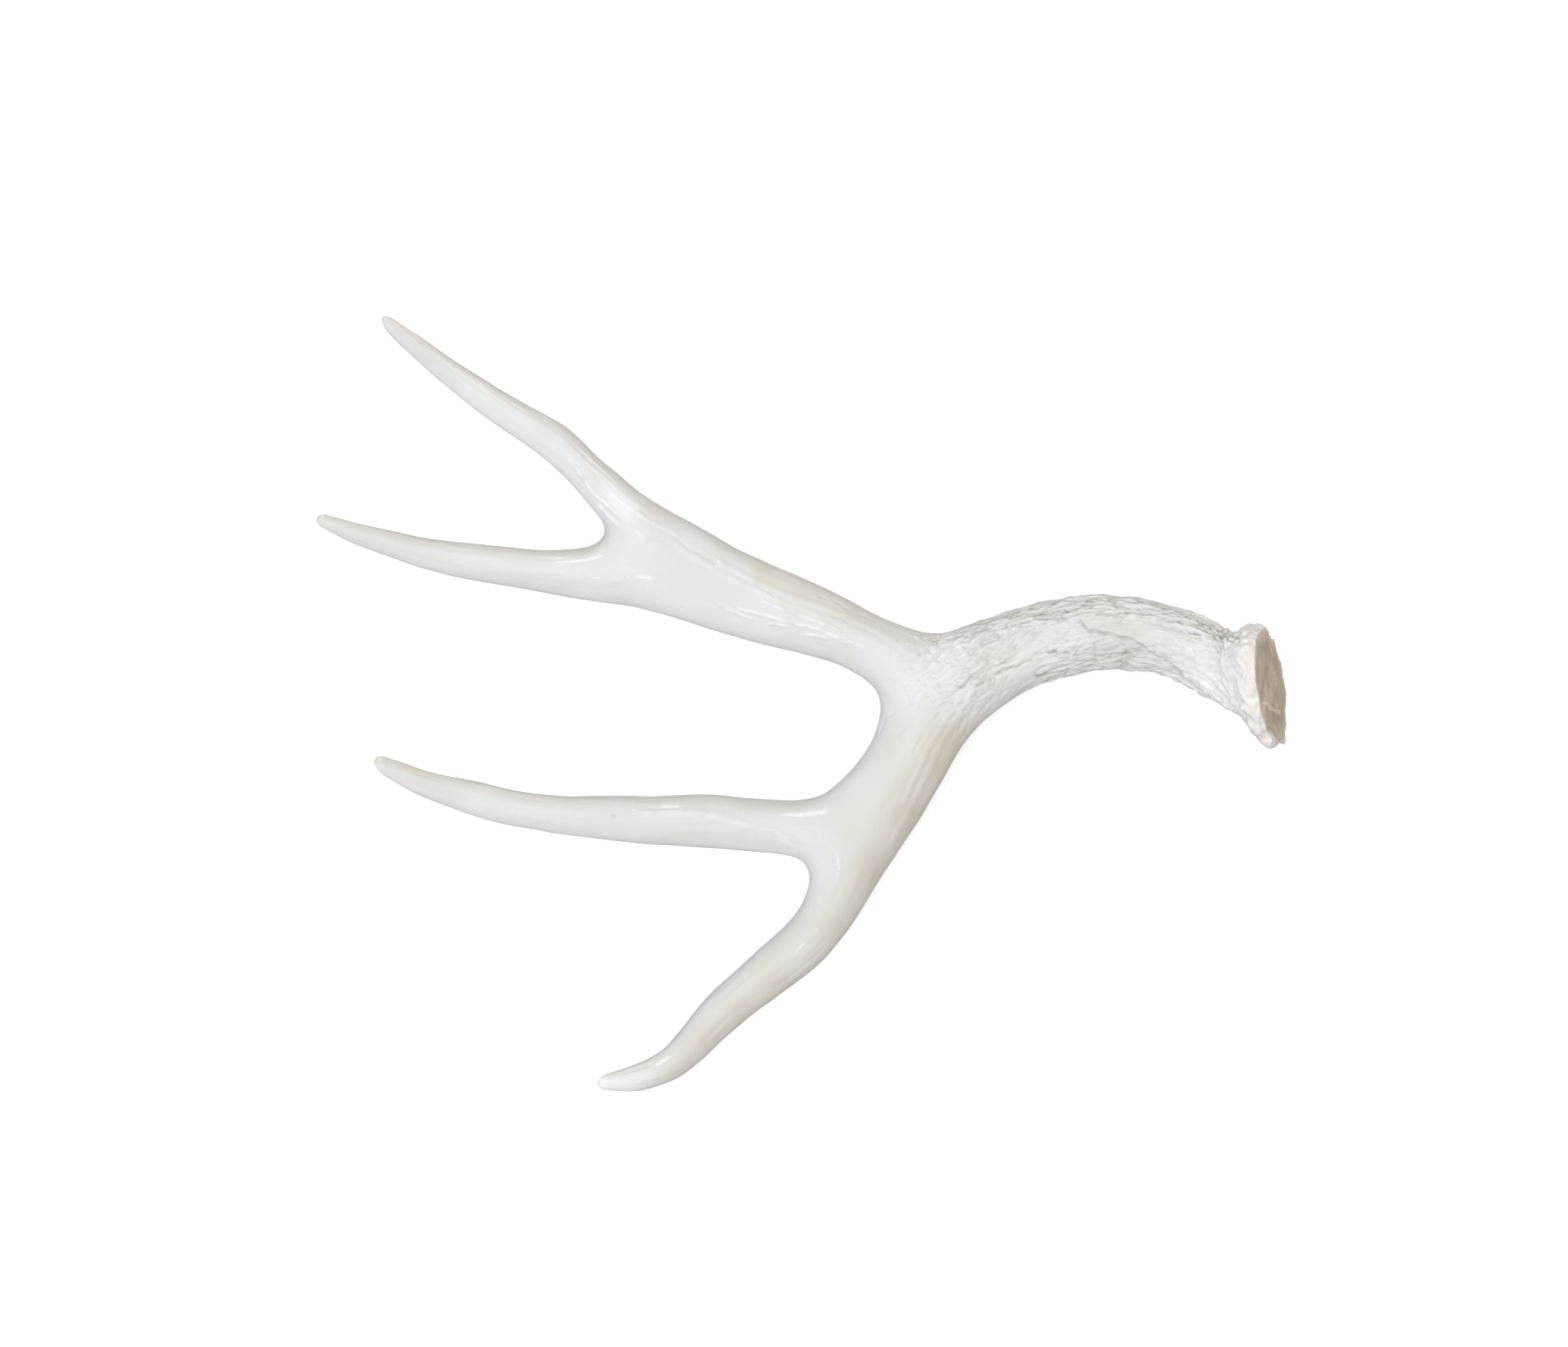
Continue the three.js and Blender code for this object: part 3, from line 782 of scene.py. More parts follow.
    def refine(self, levels: int) -> Skin:
        """Subdivides the cage into a smooth skin.

        Args:
            levels: How many times each patch is quartered.

        Returns:
            The skin, in millimetres.
        """
        trunk_rings = self.rings[self.trunk.name]
        patches, owners = [], []
        for number, limb in enumerate(self.limbs):
            quads = self.quads_of(self.rings[limb.name])
            patches += quads.tolist()
            owners += [number] * len(quads)
            if limb.tip:
                last = self.rings[limb.name][-1]
                end = np.full(SIDES, self.ends[limb.name][0])
                patches += np.stack([end, last, np.roll(last, -1)], axis=-1).tolist()
                owners += [number] * SIDES
        outer = np.concatenate([self.face_rings[1:], trunk_rings[:1]])
        face = self.quads_of(outer).tolist()
        inner = np.stack([self.face_rings[0], np.roll(outer[0], -1), outer[0]], axis=-1)
        face += inner.tolist()
        patches += face
        owners += [len(self.limbs)] * len(face)
        mesh = bpy.data.meshes.new("hide_cage")
        mesh.from_pydata(self.places.tolist(), [], patches)
        mesh.polygons.foreach_set("material_index", owners)
        for name, values in self.point_facts().items():
            mesh.attributes.new(name, "FLOAT", "POINT").data.foreach_set("value", values)
        ends = np.empty(2 * len(mesh.edges), np.int32)
        mesh.edges.foreach_get("vertices", ends)
        on_rim = np.isin(ends.reshape(-1, 2), trunk_rings[0]).all(axis=1)
        held = mesh.attributes.new("crease_edge", "FLOAT", "EDGE")
        held.data.foreach_set("value", on_rim * self.RIM_CREASE)
        return self.evaluated(mesh, levels)

    def evaluated(self, mesh: bpy.types.Mesh, levels: int) -> Skin:
        """Runs the subdivision on the cage's mesh and reads the outcome.

        Args:
            mesh: The cage's mesh, which is removed.
            levels: How many times each patch is quartered.

        Returns:
            The skin, in millimetres.
        """
        holder = bpy.data.objects.new("hide_cage", mesh)
        bpy.context.scene.collection.objects.link(holder)
        smooth = holder.modifiers.new("smooth", "SUBSURF")
        smooth.levels = smooth.render_levels = levels
        fine = holder.evaluated_get(bpy.context.evaluated_depsgraph_get()).data
        places = np.empty(3 * len(fine.vertices))
        fine.vertices.foreach_get("co", places)
        quads = np.empty(len(fine.loops), np.int32)
        fine.loops.foreach_get("vertex_index", quads)
        owners = np.empty(len(fine.polygons), np.int32)
        fine.polygons.foreach_get("material_index", owners)
        facts = {}
        for name in ("along", "cosine", "sine", "to_rib", "share"):
            facts[name] = np.empty(len(fine.vertices))
            fine.attributes[name].data.foreach_get("value", facts[name])
        bpy.data.objects.remove(holder)
        bpy.data.meshes.remove(mesh)
        return Skin(
            places.reshape(-1, 3),
            quads.reshape(-1, 4),
            owners,
            facts["along"],
            np.arctan2(facts["sine"], facts["cosine"]),
            facts["to_rib"],
            facts["share"],
        )


# ---- Carving: what stands proud of the smooth limb, or is cut into it ----


class Seed(IntEnum):
    """The seed of each field of noise."""

    SWELLS = 3
    FACETS = 4
    BARK_RIDGES = 5
    BARK_LUMPS = 6
    BARK_PATCHES = 7
    BARK_STREAKS = 8
    STREAKS = 9
    STREAK_PATCHES = 10
    BARK_SWERVE = 12
    PEARLS = 21
    SMALL_PEARLS = 22
    FORK_PEARLS = 23
    PLATE_EDGE = 31
    PLATE_FOOT = 32
    PLATE_ENDS = 33
    CREASE_X = 41
    CREASE_Y = 42
    CREASE_BREAKS = 43
    KNOBS = 54
    SMALL_KNOBS = 55
    CHIPS = 56
    TINTS = 61
    SEAL_RIM = 71
    SEAL_HOLLOWS = 81
    SEAL_GRAIN = 82
    SEAL_WAVER = 83


@dataclass(frozen=True)
class Backs:
    """Rounded backs with sharp valleys between them, drawn from a noise n.

    Their height is depth (min(|n|, cap) - level). The valleys are darkened by a painted shade,
    which fades as |n| rises from 0 to the valley's width.
    """

    depth: float
    cap: float
    level: float
    shade: float = 0.0
    valley: float = 0.14

    def raise_on(
        self, skin: Skin, noise: np.ndarray, here: np.ndarray, dark: np.ndarray | float = 1.0
    ) -> None:
        """Adds the backs to the skin.

        Args:
            skin: The skin to carve.
            noise: The noise at each point.
            here: The share of the depth at each point.
            dark: The share of the painted shade at each point.
        """
        folded = np.abs(noise)
        skin.height += self.depth * here * (np.minimum(folded, self.cap) - self.level)
        # Painted shade in the valleys.
        skin.crease_shade += self.shade * dark * here * fade_between(folded, 0.0, self.valley)


@dataclass(frozen=True)
class Swells:
    """Slow unevenness of every limb, which bends the reflections in the lacquer."""

    depth: float = 0.5
    size: float = 17.0
    radius: float = 11.0
    facet_depth: float = 0.7
    facet_size: Point2 = (75.0, 9.0)
    facets_grow: Point2 = (4.0, 22.0)
    streak_depth: float = 0.36
    streak_size: Point2 = (26.0, 2.6)
    streaks_grow: Point2 = (0.0, 9.0)
    patch_size: float = 22.0
    patch_edge: Point2 = (-0.25, 0.35)
    beam_loss: float = 0.6

    def carve(self, skin: Skin) -> None:
        """Adds depth times noise over size, and long shallow facets and streaks between forks.

        Args:
            skin: The skin to carve.
        """
        skin.height += self.depth * skin.space_noise(Seed.SWELLS, self.size)
        smooth = 1.0 - self.beam_loss * skin.on_beam
        facets = skin.tube_noise(Seed.FACETS, self.facet_size, self.radius)
        facets = facets * ease_between(skin.to_rib, *self.facets_grow)
        streaks = skin.tube_noise(Seed.STREAKS, self.streak_size, self.radius)
        patches = skin.space_noise(Seed.STREAK_PATCHES, self.patch_size)
        streaks = streaks * ease_between(patches, *self.patch_edge)
        streaks = streaks * ease_between(skin.to_rib, *self.streaks_grow)
        skin.height += smooth * (self.facet_depth * facets + self.streak_depth * streaks)


@dataclass(frozen=True)
class Bark:
    """Streaky bark along the beam: broad ridges, long lumps on them, and fine streaks."""

    radius: float = 17.0
    ridges: Backs = Backs(depth=3.0, cap=0.5, level=0.3, shade=0.2, valley=0.14)
    ridge_size: Point2 = (30.0, 9.0)
    ridge_fades: Point2 = (110.0, 165.0)
    lumps: Backs = Backs(depth=2.1, cap=0.6, level=0.25, shade=0.5, valley=0.12)
    lump_size: Point2 = (10.5, 2.5)
    lump_fades: Point2 = (140.0, 190.0)
    streaks: Backs = Backs(depth=1.15, cap=0.6, level=0.25, shade=0.2, valley=0.12)
    streak_size: Point2 = (6.0, 1.35)
    swerve: float = 0.2
    swerve_size: Point2 = (24.0, 16.0)
    twist: float = 0.006
    patch_size: Point2 = (26.0, 12.0)
    patch_edge: Point2 = (-0.3, 0.1)
    patch_least: float = 0.55
    grows: Point2 = (10.0, 26.0)
    near_fork: Point2 = (0.0, 22.0)
    early: float = 45.0
    early_side: Point2 = (0.1, 0.8)
    bare_top: Point2 = (10.0, 48.0)
    flat_share: float = 0.6
    far_side: Point2 = (0.0, 0.7)
    far_shade_gain: float = 0.45
    far_shade_fades: Point2 = (90.0, 150.0)
    neck_shade_loss: float = 0.75
    neck_shade_fades: Point2 = (28.0, 66.0)

    def carve(self, skin: Skin) -> None:
        """Adds three sizes of grain, drawn out along the beam and swerving round it.

        The lumps and streaks come in patches. All of it is lower on top and ends early on the
        near side.

        Args:
            skin: The skin to carve.
        """
        straight = skin.around
        swerving = skin.tube_noise(Seed.BARK_SWERVE, self.swerve_size, self.radius)
        skin.around = straight + self.swerve * swerving + self.twist * skin.along
        ridges = skin.tube_noise(Seed.BARK_RIDGES, self.ridge_size, self.radius)
        lumps = skin.tube_noise(Seed.BARK_LUMPS, self.lump_size, self.radius)
        streaks = skin.tube_noise(Seed.BARK_STREAKS, self.streak_size, self.radius)
        patches = skin.tube_noise(Seed.BARK_PATCHES, self.patch_size, self.radius)
        skin.around = straight
        from_top = np.degrees(np.abs(straight - np.pi / 2.0))
        from_top = np.minimum(from_top, 360.0 - from_top)
        here = skin.on_beam * ease_between(skin.to_rib, *self.near_fork) * (1.0 - skin.bare)
        here = here * at_least(self.flat_share, ease_between(from_top, *self.bare_top))
        here = here * ease_between(skin.along, *self.grows)
        reached = skin.along + self.early * ease_between(np.cos(straight), *self.early_side)
        dark = self.darkness(skin)
        self.ridges.raise_on(skin, ridges, here * fade_between(reached, *self.ridge_fades), dark)
        here = here * fade_between(reached, *self.lump_fades)
        here = here * at_least(self.patch_least, ease_between(patches, *self.patch_edge))
        self.lumps.raise_on(skin, lumps, here, dark)
        self.streaks.raise_on(skin, streaks, here, dark)

    def darkness(self, skin: Skin) -> np.ndarray:
        """Gives (1 - n) (1 - far) + (1 + d) far, the share of the valleys' painted shade.

        Far is 1 on the far side of the beam, n is the share of painted shade taken off the neck, and
        d is the painted shade added on the far side as far as the middle of the beam.

        Args:
            skin: The skin to carve.

        Returns:
            The share at each point.
        """
        far = ease_between(-np.cos(skin.around), *self.far_side)
        lighter = self.neck_shade_loss * fade_between(skin.along, *self.neck_shade_fades)
        darker = self.far_shade_gain * fade_between(skin.along, *self.far_shade_fades)
        return (1.0 - lighter) * (1.0 - far) + (1.0 + darker) * far


@dataclass(frozen=True)
class Pearls:
    """Soft rounded lumps near the burr and on the main fork."""

    large: Backs = Backs(depth=1.7, cap=0.6, level=0.2, shade=0.16, valley=0.14)
    large_size: float = 6.5
    small: Backs = Backs(depth=0.9, cap=0.6, level=0.2)
    small_size: float = 3.2
    grows: Point2 = (1.0, 7.0)
    fades: Point2 = (26.0, 60.0)
    fork: Backs = Backs(depth=1.25, cap=0.5, level=0.15, shade=0.34, valley=0.1)
    fork_place: Point3 = (70.0, 22.0, 37.0)
    fork_fades: Point2 = (14.0, 36.0)
    fork_size: Point2 = (8.0, 2.9)
    fork_way: Point3 = (0.85, 0.52, 0.0)

    def carve(self, skin: Skin) -> None:
        """Adds two sizes of lumps near the burr, and finer ones that flow over the main fork.

        Args:
            skin: The skin to carve.
        """
        near = skin.on_beam * skin.share * ease_between(skin.along, *self.grows)
        near = near * fade_between(skin.along, *self.fades)
        self.large.raise_on(skin, skin.space_noise(Seed.PEARLS, self.large_size), near)
        self.small.raise_on(skin, skin.space_noise(Seed.SMALL_PEARLS, self.small_size), near)
        gap = lengths(skin.places - np.array(self.fork_place))
        near = skin.upward * fade_between(gap, *self.fork_fades)
        grain = skin.drawn_noise(Seed.FORK_PEARLS, self.fork_size, self.fork_way)
        self.fork.raise_on(skin, grain, near)


@dataclass(frozen=True)
class Plate:
    """A raised smooth tongue on top of the beam, with a ledge along its near side.

    Edge is its near side and far_edge its far one, both from its blunt end towards the burr.
    """

    rise: float = 1.25
    ledge: Point2 = (-0.6, 0.5)
    slope: Point2 = (7.0, 15.0)
    far_slope: Point2 = (-4.0, 6.0)
    blunt_end: Point2 = (-1.0, 1.5)
    fades: Point2 = (168.0, 192.0)
    waver: float = 0.9
    waver_size: float = 3.6
    end_waver: float = 0.8
    end_waver_size: float = 3.5
    bare: float = 0.5
    bare_edge: Point2 = (-0.3, 0.8)
    bare_far_edge: Point2 = (-1.0, 1.0)
    bare_until: Point2 = (148.0, 172.0)
    foot_place: float = -0.3
    foot_width: Point2 = (0.1, 1.1)
    foot_reach: float = 3.0
    foot_depth: float = 0.45
    foot_shade: float = 0.3
    break_size: float = 3.2
    break_edge: Point2 = (-0.35, 0.3)
    edge: Line = (
        (126.0, 42.0),
        (127.0, 39.5),
        (130.4, 35.9),
        (137.4, 34.9),
        (143.3, 33.5),
        (149.5, 32.1),
        (154.0, 29.3),
        (159.9, 25.2),
        (167.9, 20.7),
        (172.4, 17.2),
        (178.3, 11.3),
        (181.7, 8.6),
        (189.0, 5.8),
    )
    far_edge: Line = (
        (126.0, 44.0),
        (135.0, 45.8),
        (145.0, 43.4),
        (155.8, 42.3),
        (171.2, 38.5),
        (184.7, 32.1),
        (190.0, 28.0),
    )

    def carve(self, skin: Skin) -> None:
        """Raises the points between the two edges, less and less away from the near one.

        A point is between them if its y lies between those of the edges at its x, and the height is
        the rise times one fade over the distance from the near edge and one over that from the far
        one. The middle is marked as bare of bark, and a broken groove with painted shade lies at the
        ledge's foot.

        Args:
            skin: The skin to carve.
        """
        waver = self.waver * skin.space_noise(Seed.PLATE_EDGE, self.waver_size)
        across = skin.places[:, 0]
        across = across + self.end_waver * skin.space_noise(Seed.PLATE_ENDS, self.end_waver_size)
        near_line, far_line = np.array(self.edge), np.array(self.far_edge)
        low = skin.places[:, 1] - np.interp(across, *near_line.T)
        high = np.interp(across, *far_line.T) - skin.places[:, 1] + waver
        inside = (low > 0.0) & (across > near_line[0, 0])
        gap = distance_to_line(skin.places, self.edge)
        signed = np.where(inside, gap, -gap) + waver
        here = skin.on_beam * skin.upward * fade_between(skin.places[:, 0], *self.fades)
        here = here * ease_between(across - near_line[0, 0], *self.blunt_end)
        step = ease_between(signed, *self.ledge) * fade_between(gap, *self.slope)
        skin.height += self.rise * here * step * inside * ease_between(high, *self.far_slope)
        smooth = ease_between(signed, *self.bare_edge) * ease_between(high, *self.bare_far_edge)
        smooth = smooth * inside * fade_between(across, *self.bare_until)
        skin.bare = self.bare * here * smooth
        broken = skin.space_noise(Seed.PLATE_FOOT, self.break_size)
        foot = fade_between(np.abs(signed - self.foot_place), *self.foot_width)
        foot = here * foot * (gap < self.foot_reach) * ease_between(broken, *self.break_edge)
        # Painted shade in the groove at the ledge's foot.
        skin.crease_shade += self.foot_shade * foot
        skin.height -= self.foot_depth * foot


@dataclass(frozen=True)
class Cuts:
    """Thin cuts of one strength along lines, with a least share of it where they are broken."""

    strength: float
    least: float
    shade: float
    lines: tuple[Line, ...]
    depth: float = 0.8
    half_width: float = 1.15

    def carve(self, skin: Skin, places: np.ndarray, broken: np.ndarray) -> None:
        """Cuts along each line and paints shade into it, fading with the distance.

        Args:
            skin: The skin to carve.
            places: Its points, wavering a little.
            broken: 0 where the lines break off and 1 where they are whole.
        """
        share = self.strength * at_least(self.least, broken) * skin.upward
        for line in self.lines:
            near = fade_between(distance_to_line(places, line), 0.0, self.half_width)
            skin.height -= self.depth * share * near
            # Painted shade in the cut.
            skin.crease_shade += self.shade * share * near * near


@dataclass(frozen=True)
class Crests:
    """Low ridges along lines, with a painted highlight along each."""

    reach: float
    rise: float
    painted_highlight: float
    lines: tuple[Line, ...]

    def carve(self, skin: Skin, places: np.ndarray, broken: np.ndarray) -> None:
        """Raises each line and paints a highlight along it, fading with the distance.

        Args:
            skin: The skin to carve.
            places: Its points, wavering a little.
            broken: 0 where the painted highlight breaks off and 1 where it is whole.
        """
        for line in self.lines:
            near = fade_between(distance_to_line(places, line), 0.0, self.reach) * skin.upward
            skin.height += self.rise * near
            # Painted highlight along the crest.
            skin.bleach += self.painted_highlight * broken * near


@dataclass(frozen=True)
class Creases:
    """What blood vessels and the grain left on the upper side, along given lines, with painted
    shade in the cuts and painted highlights on the crests.
    """

    waver: float = 1.1
    waver_size: float = 4.0
    crest_waver: float = 0.5
    break_size: float = 5.0
    break_edge: Point2 = (-0.4, 0.1)
    beam: Cuts = Cuts(
        strength=1.0,
        least=0.0,
        shade=0.36,
        lines=(
            ((71.1, 8.9), (77.3, 13.7)),
            ((76.7, 8.9), (85.3, 12.4), (89.5, 16.0), (98.9, 19.6), (106.5, 23.5), (117.3, 26.3)),
            ((90.5, 20.7), (95.0, 21.6)),
            ((106.5, 14.4), (117.3, 16.5)),
            ((55.1, 29.4), (71.1, 32.9), (86.0, 37.0)),
            ((96.4, 38.4), (104.7, 40.8)),
            ((107.0, 24.5), (115.0, 26.2), (120.2, 24.8), (129.5, 25.2)),
            ((134.2, 24.2), (140.4, 24.5), (158.8, 23.5)),
            ((139.1, 20.7), (146.3, 21.0)),
            ((107.9, 14.4), (123.2, 17.2)),
            ((107.0, 43.9), (121.9, 45.3)),
            ((107.0, 41.5), (120.9, 41.8)),
            ((157.6, 23.5), (166.3, 19.3), (171.8, 15.5), (178.1, 11.3), (181.2, 8.9)),
            ((182.8, 7.2), (190.7, 3.0), (196.6, 0.2)),
            ((134.3, 50.0), (145.1, 49.5)),
            ((144.6, 47.8), (151.6, 47.1)),
            ((146.9, 44.3), (158.0, 43.9)),
        ),
    )
    flows: Cuts = Cuts(
        strength=0.4,
        least=0.0,
        shade=0.05,
        lines=(
            ((94.0, 17.0), (88.0, 13.0), (80.0, 3.0), (70.0, -11.0), (62.0, -24.0)),
            ((80.0, 17.0), (68.0, 6.0), (58.0, -7.0), (50.0, -21.0)),
            ((87.0, 5.0), (79.0, -4.0), (73.0, -14.0)),
            ((100.0, 11.5), (92.0, 7.0), (85.0, -1.0)),
            ((74.0, 20.0), (61.0, 8.0), (50.0, -3.0), (43.0, -13.0)),
        ),
    )
    cracks: Cuts = Cuts(
        strength=1.0,
        least=0.4,
        shade=0.8,
        lines=(
            ((154.0, 49.6), (163.0, 47.2), (171.0, 45.0)),
            ((162.1, 40.4), (167.0, 40.1), (173.6, 38.3), (178.8, 37.6), (183.6, 35.6), (190.5, 33.1)),
            ((165.1, 43.9), (171.7, 43.2), (176.5, 41.8), (181.0, 40.8)),
            ((174.0, 42.8), (184.0, 39.2), (192.0, 35.6)),
            ((191.8, 34.1), (198.4, 31.4)),
            ((191.0, 32.7), (196.1, 29.3)),
            ((176.1, 35.2), (181.0, 34.2)),
        ),
    )
    branch: Cuts = Cuts(
        strength=0.45,
        least=0.0,
        shade=0.1,
        lines=(
            ((-38.7, 64.0), (-8.8, 50.0), (18.0, 41.0), (26.7, 36.5), (40.6, 30.0)),
            ((-78.0, 92.0), (-71.8, 88.2), (-62.4, 81.6), (-54.0, 74.3), (-37.7, 65.2), (-24.5, 58.3)),
            ((-84.4, 86.2), (-77.8, 81.3), (-73.2, 79.2), (-64.2, 76.8)),
            ((7.9, 51.7), (22.2, 45.4), (33.0, 40.9)),
            ((34.0, -14.0), (38.0, -4.0), (50.0, 2.0)),
        ),
    )
    # Soft painted highlights along low ridges.
    ridges: Crests = Crests(
        reach=2.6,
        rise=0.4,
        painted_highlight=0.25,
        lines=(
            ((-38.7, 66.2), (-8.8, 52.4), (18.0, 43.4), (26.7, 39.0), (40.6, 32.4)),
            ((-58.0, 74.0), (-30.0, 58.0), (-12.0, 50.0)),
            ((-77.0, -47.5), (-46.0, -48.6), (-12.0, -57.0), (-3.0, -66.0)),
            ((78.0, 9.0), (64.0, -14.0), (52.0, -40.0), (41.0, -61.0)),
            ((71.0, 4.0), (57.0, -19.0), (46.0, -44.0)),
        ),
    )
    # Brighter painted highlights along thinner ridges.
    glints: Crests = Crests(
        reach=1.3,
        rise=0.5,
        painted_highlight=0.6,
        lines=(
            ((-18.6, 48.9), (17.3, 35.7)),
            ((-30.0, 46.0), (-12.0, 41.0), (8.0, 36.0), (20.0, 30.0)),
            ((-106.6, 113.2), (-96.4, 98.6), (-85.3, 88.4), (-74.1, 79.4)),
            ((-87.7, 97.5), (-74.1, 88.4), (-58.4, 79.4)),
            ((-94.3, 93.0), (-85.3, 83.9)),
            ((-38.8, 47.2), (-24.5, 41.2)),
            ((-15.4, 38.8), (-7.1, 38.1)),
            ((1.6, 33.9), (10.0, 32.5)),
        ),
    )

    def carve(self, skin: Skin) -> None:
        """Carves every group of lines at places that waver, the crests' lines half as much.

        Args:
            skin: The skin to carve.
        """
        waver = np.zeros_like(skin.places)
        for axis, seed in enumerate((Seed.CREASE_X, Seed.CREASE_Y)):
            waver[:, axis] = self.waver * skin.space_noise(seed, self.waver_size)
        broken = skin.space_noise(Seed.CREASE_BREAKS, self.break_size)
        broken = ease_between(broken, *self.break_edge)
        for cuts in (self.beam, self.cracks, self.flows, self.branch):
            cuts.carve(skin, skin.places + waver, broken)
        for crests in (self.ridges, self.glints):
            crests.carve(skin, skin.places + self.crest_waver * waver, broken)


@dataclass(frozen=True)
class Nick:
    """A small dent on the long front tine."""

    place: Point2 = (-86.7, -49.2)
    radius: float = 1.7
    depth: float = 0.55
    shade: float = 0.4

    def carve(self, skin: Skin) -> None:
        """Presses the surface in by depth times a smooth fade of the distance, and paints shade into
        the dent.

        Args:
            skin: The skin to carve.
        """
        gap = lengths(skin.places[:, :2] - np.array(self.place))
        near = fade_between(gap, 0.0, self.radius) * skin.upward
        skin.height -= self.depth * near
        # Painted shade in the dent.
        skin.crease_shade += self.shade * near


@dataclass(frozen=True)
class Tooth:
    """A blunt peg on the burr's rim, or a notch in it if its height is below zero.

    It stands at a place, leans a way, and is even within its radius and falls off over its wall.
    """

    place: Point3
    way: Point3
    radius: float
    wall: float
    height: float
    foot_reach: float = 0.8

    def gap(self, skin: Skin) -> np.ndarray:
        """Gives how far each point is from the tooth's place."""
        return lengths(skin.places - np.array(self.place))

    def lift(self, skin: Skin) -> np.ndarray:
        """Gives how far each point moves: the height within the radius, fading over the wall."""
        share = fade_between(self.gap(skin), self.radius, self.radius + self.wall)
        return self.height * share[:, None] * unit(np.array([self.way]))

    def foot(self, skin: Skin) -> np.ndarray:
        """Gives where painted shadow goes: a ring just outside the wall, 1 in its middle, or for a
        notch all its inside.

        Args:
            skin: The skin to carve.

        Returns:
            The share at each point.
        """
        gap = self.gap(skin) - self.radius - self.wall
        outside = np.abs(gap) if self.height > 0.0 else gap
        return fade_between(outside, 0.0, self.foot_reach)

    def covers(self, skin: Skin) -> np.ndarray:
        """Tells which points belong to the peg, out to the middle of its wall."""
        return (self.gap(skin) < self.radius + self.wall / 2.0) & (self.height > 0.0)


@dataclass(frozen=True)
class Burr:
    """The knobbly collar round the seal face, with one large tooth, a small one and a notch."""

    radius: float = 27.0
    knob_depth: float = 2.4
    knob_size: Point2 = (9.0, 9.0)
    small: Backs = Backs(depth=1.7, cap=0.6, level=0.2, shade=0.06, valley=0.14)
    small_size: Point2 = (4.6, 4.6)
    chip_depth: float = 0.8
    chip_size: Point2 = (2.2, 2.2)
    chips_fade: Point2 = (0.5, 4.0)
    fades: Point2 = (9.0, 16.0)
    rim: Point2 = (0.6, 1.0)
    skirt: float = 2.7
    skirt_along: Point2 = (18.0, 6.0)
    bulges: tuple[Point3, ...] = ((1.0, 128.0, 6.0), (-1.6, 222.0, 4.0), (1.6, 330.0, 12.0))
    teeth: tuple[Tooth, ...] = (
        Tooth((209.6, -12.8, 57.4), (0.45, -0.7, 0.5), 4.3, 0.8, 4.2),
        Tooth((220.3, -13.2, 34.0), (0.5, -0.85, 0.15), 1.6, 0.8, 1.8),
        Tooth((218.2, -15.9, 40.5), (0.2, -1.0, 0.0), 1.3, 1.2, -1.9),
    )
    tooth_shade: float = 0.65
    tooth_painted_light: float = 0.6

    def carve(self, skin: Skin) -> None:
        """Adds lumps of noise round the collar, bulges at given turns, a skirt and the teeth.

        A bulge of depth d at turn b adds d e^(k (cos(turn - b) - 1)). The skirt is a smooth hump
        along the beam that fills the hollow behind the collar on the upper side. Towards the
        middle of the face all of it fades. A painted shadow rings each peg's foot and fills the
        notch, and painted light brightens the pegs.
        middle of the face all of it fades.

        Args:
            skin: The skin to carve.
        """
        rim = skin.on_beam * ease_between(skin.share, *self.rim)
        here = rim * fade_between(skin.along, *self.fades)
        knobs = skin.tube_noise(Seed.SMALL_KNOBS, self.small_size, self.radius)
        self.small.raise_on(skin, knobs, here)
        lumps = self.knob_depth * skin.tube_noise(Seed.KNOBS, self.knob_size, self.radius)
        chips = self.chip_depth * skin.tube_noise(Seed.CHIPS, self.chip_size, self.radius)
        lumps += chips * fade_between(skin.along, *self.chips_fade)
        for depth, turn, keen in self.bulges:
            lumps += depth * np.exp(keen * (np.cos(skin.around - math.radians(turn)) - 1.0))
        skin.height += here * lumps
        middle, spread = self.skirt_along
        hump = np.exp(-(((skin.along - middle) / spread) ** 2))
        skin.height += self.skirt * rim * skin.upward * hump
        for tooth in self.teeth:
            skin.shove += tooth.lift(skin) * skin.on_beam[:, None]
            # Painted shadow round each peg's foot and inside the notch.
            skin.crease_shade += self.tooth_shade * skin.on_beam * tooth.foot(skin)
        skin.on_tooth = np.any([tooth.covers(skin) for tooth in self.teeth], axis=0)
        # Painted light brightens the pegs, whose faces turn away from the lamps.
        skin.bleach += self.tooth_painted_light * skin.on_tooth


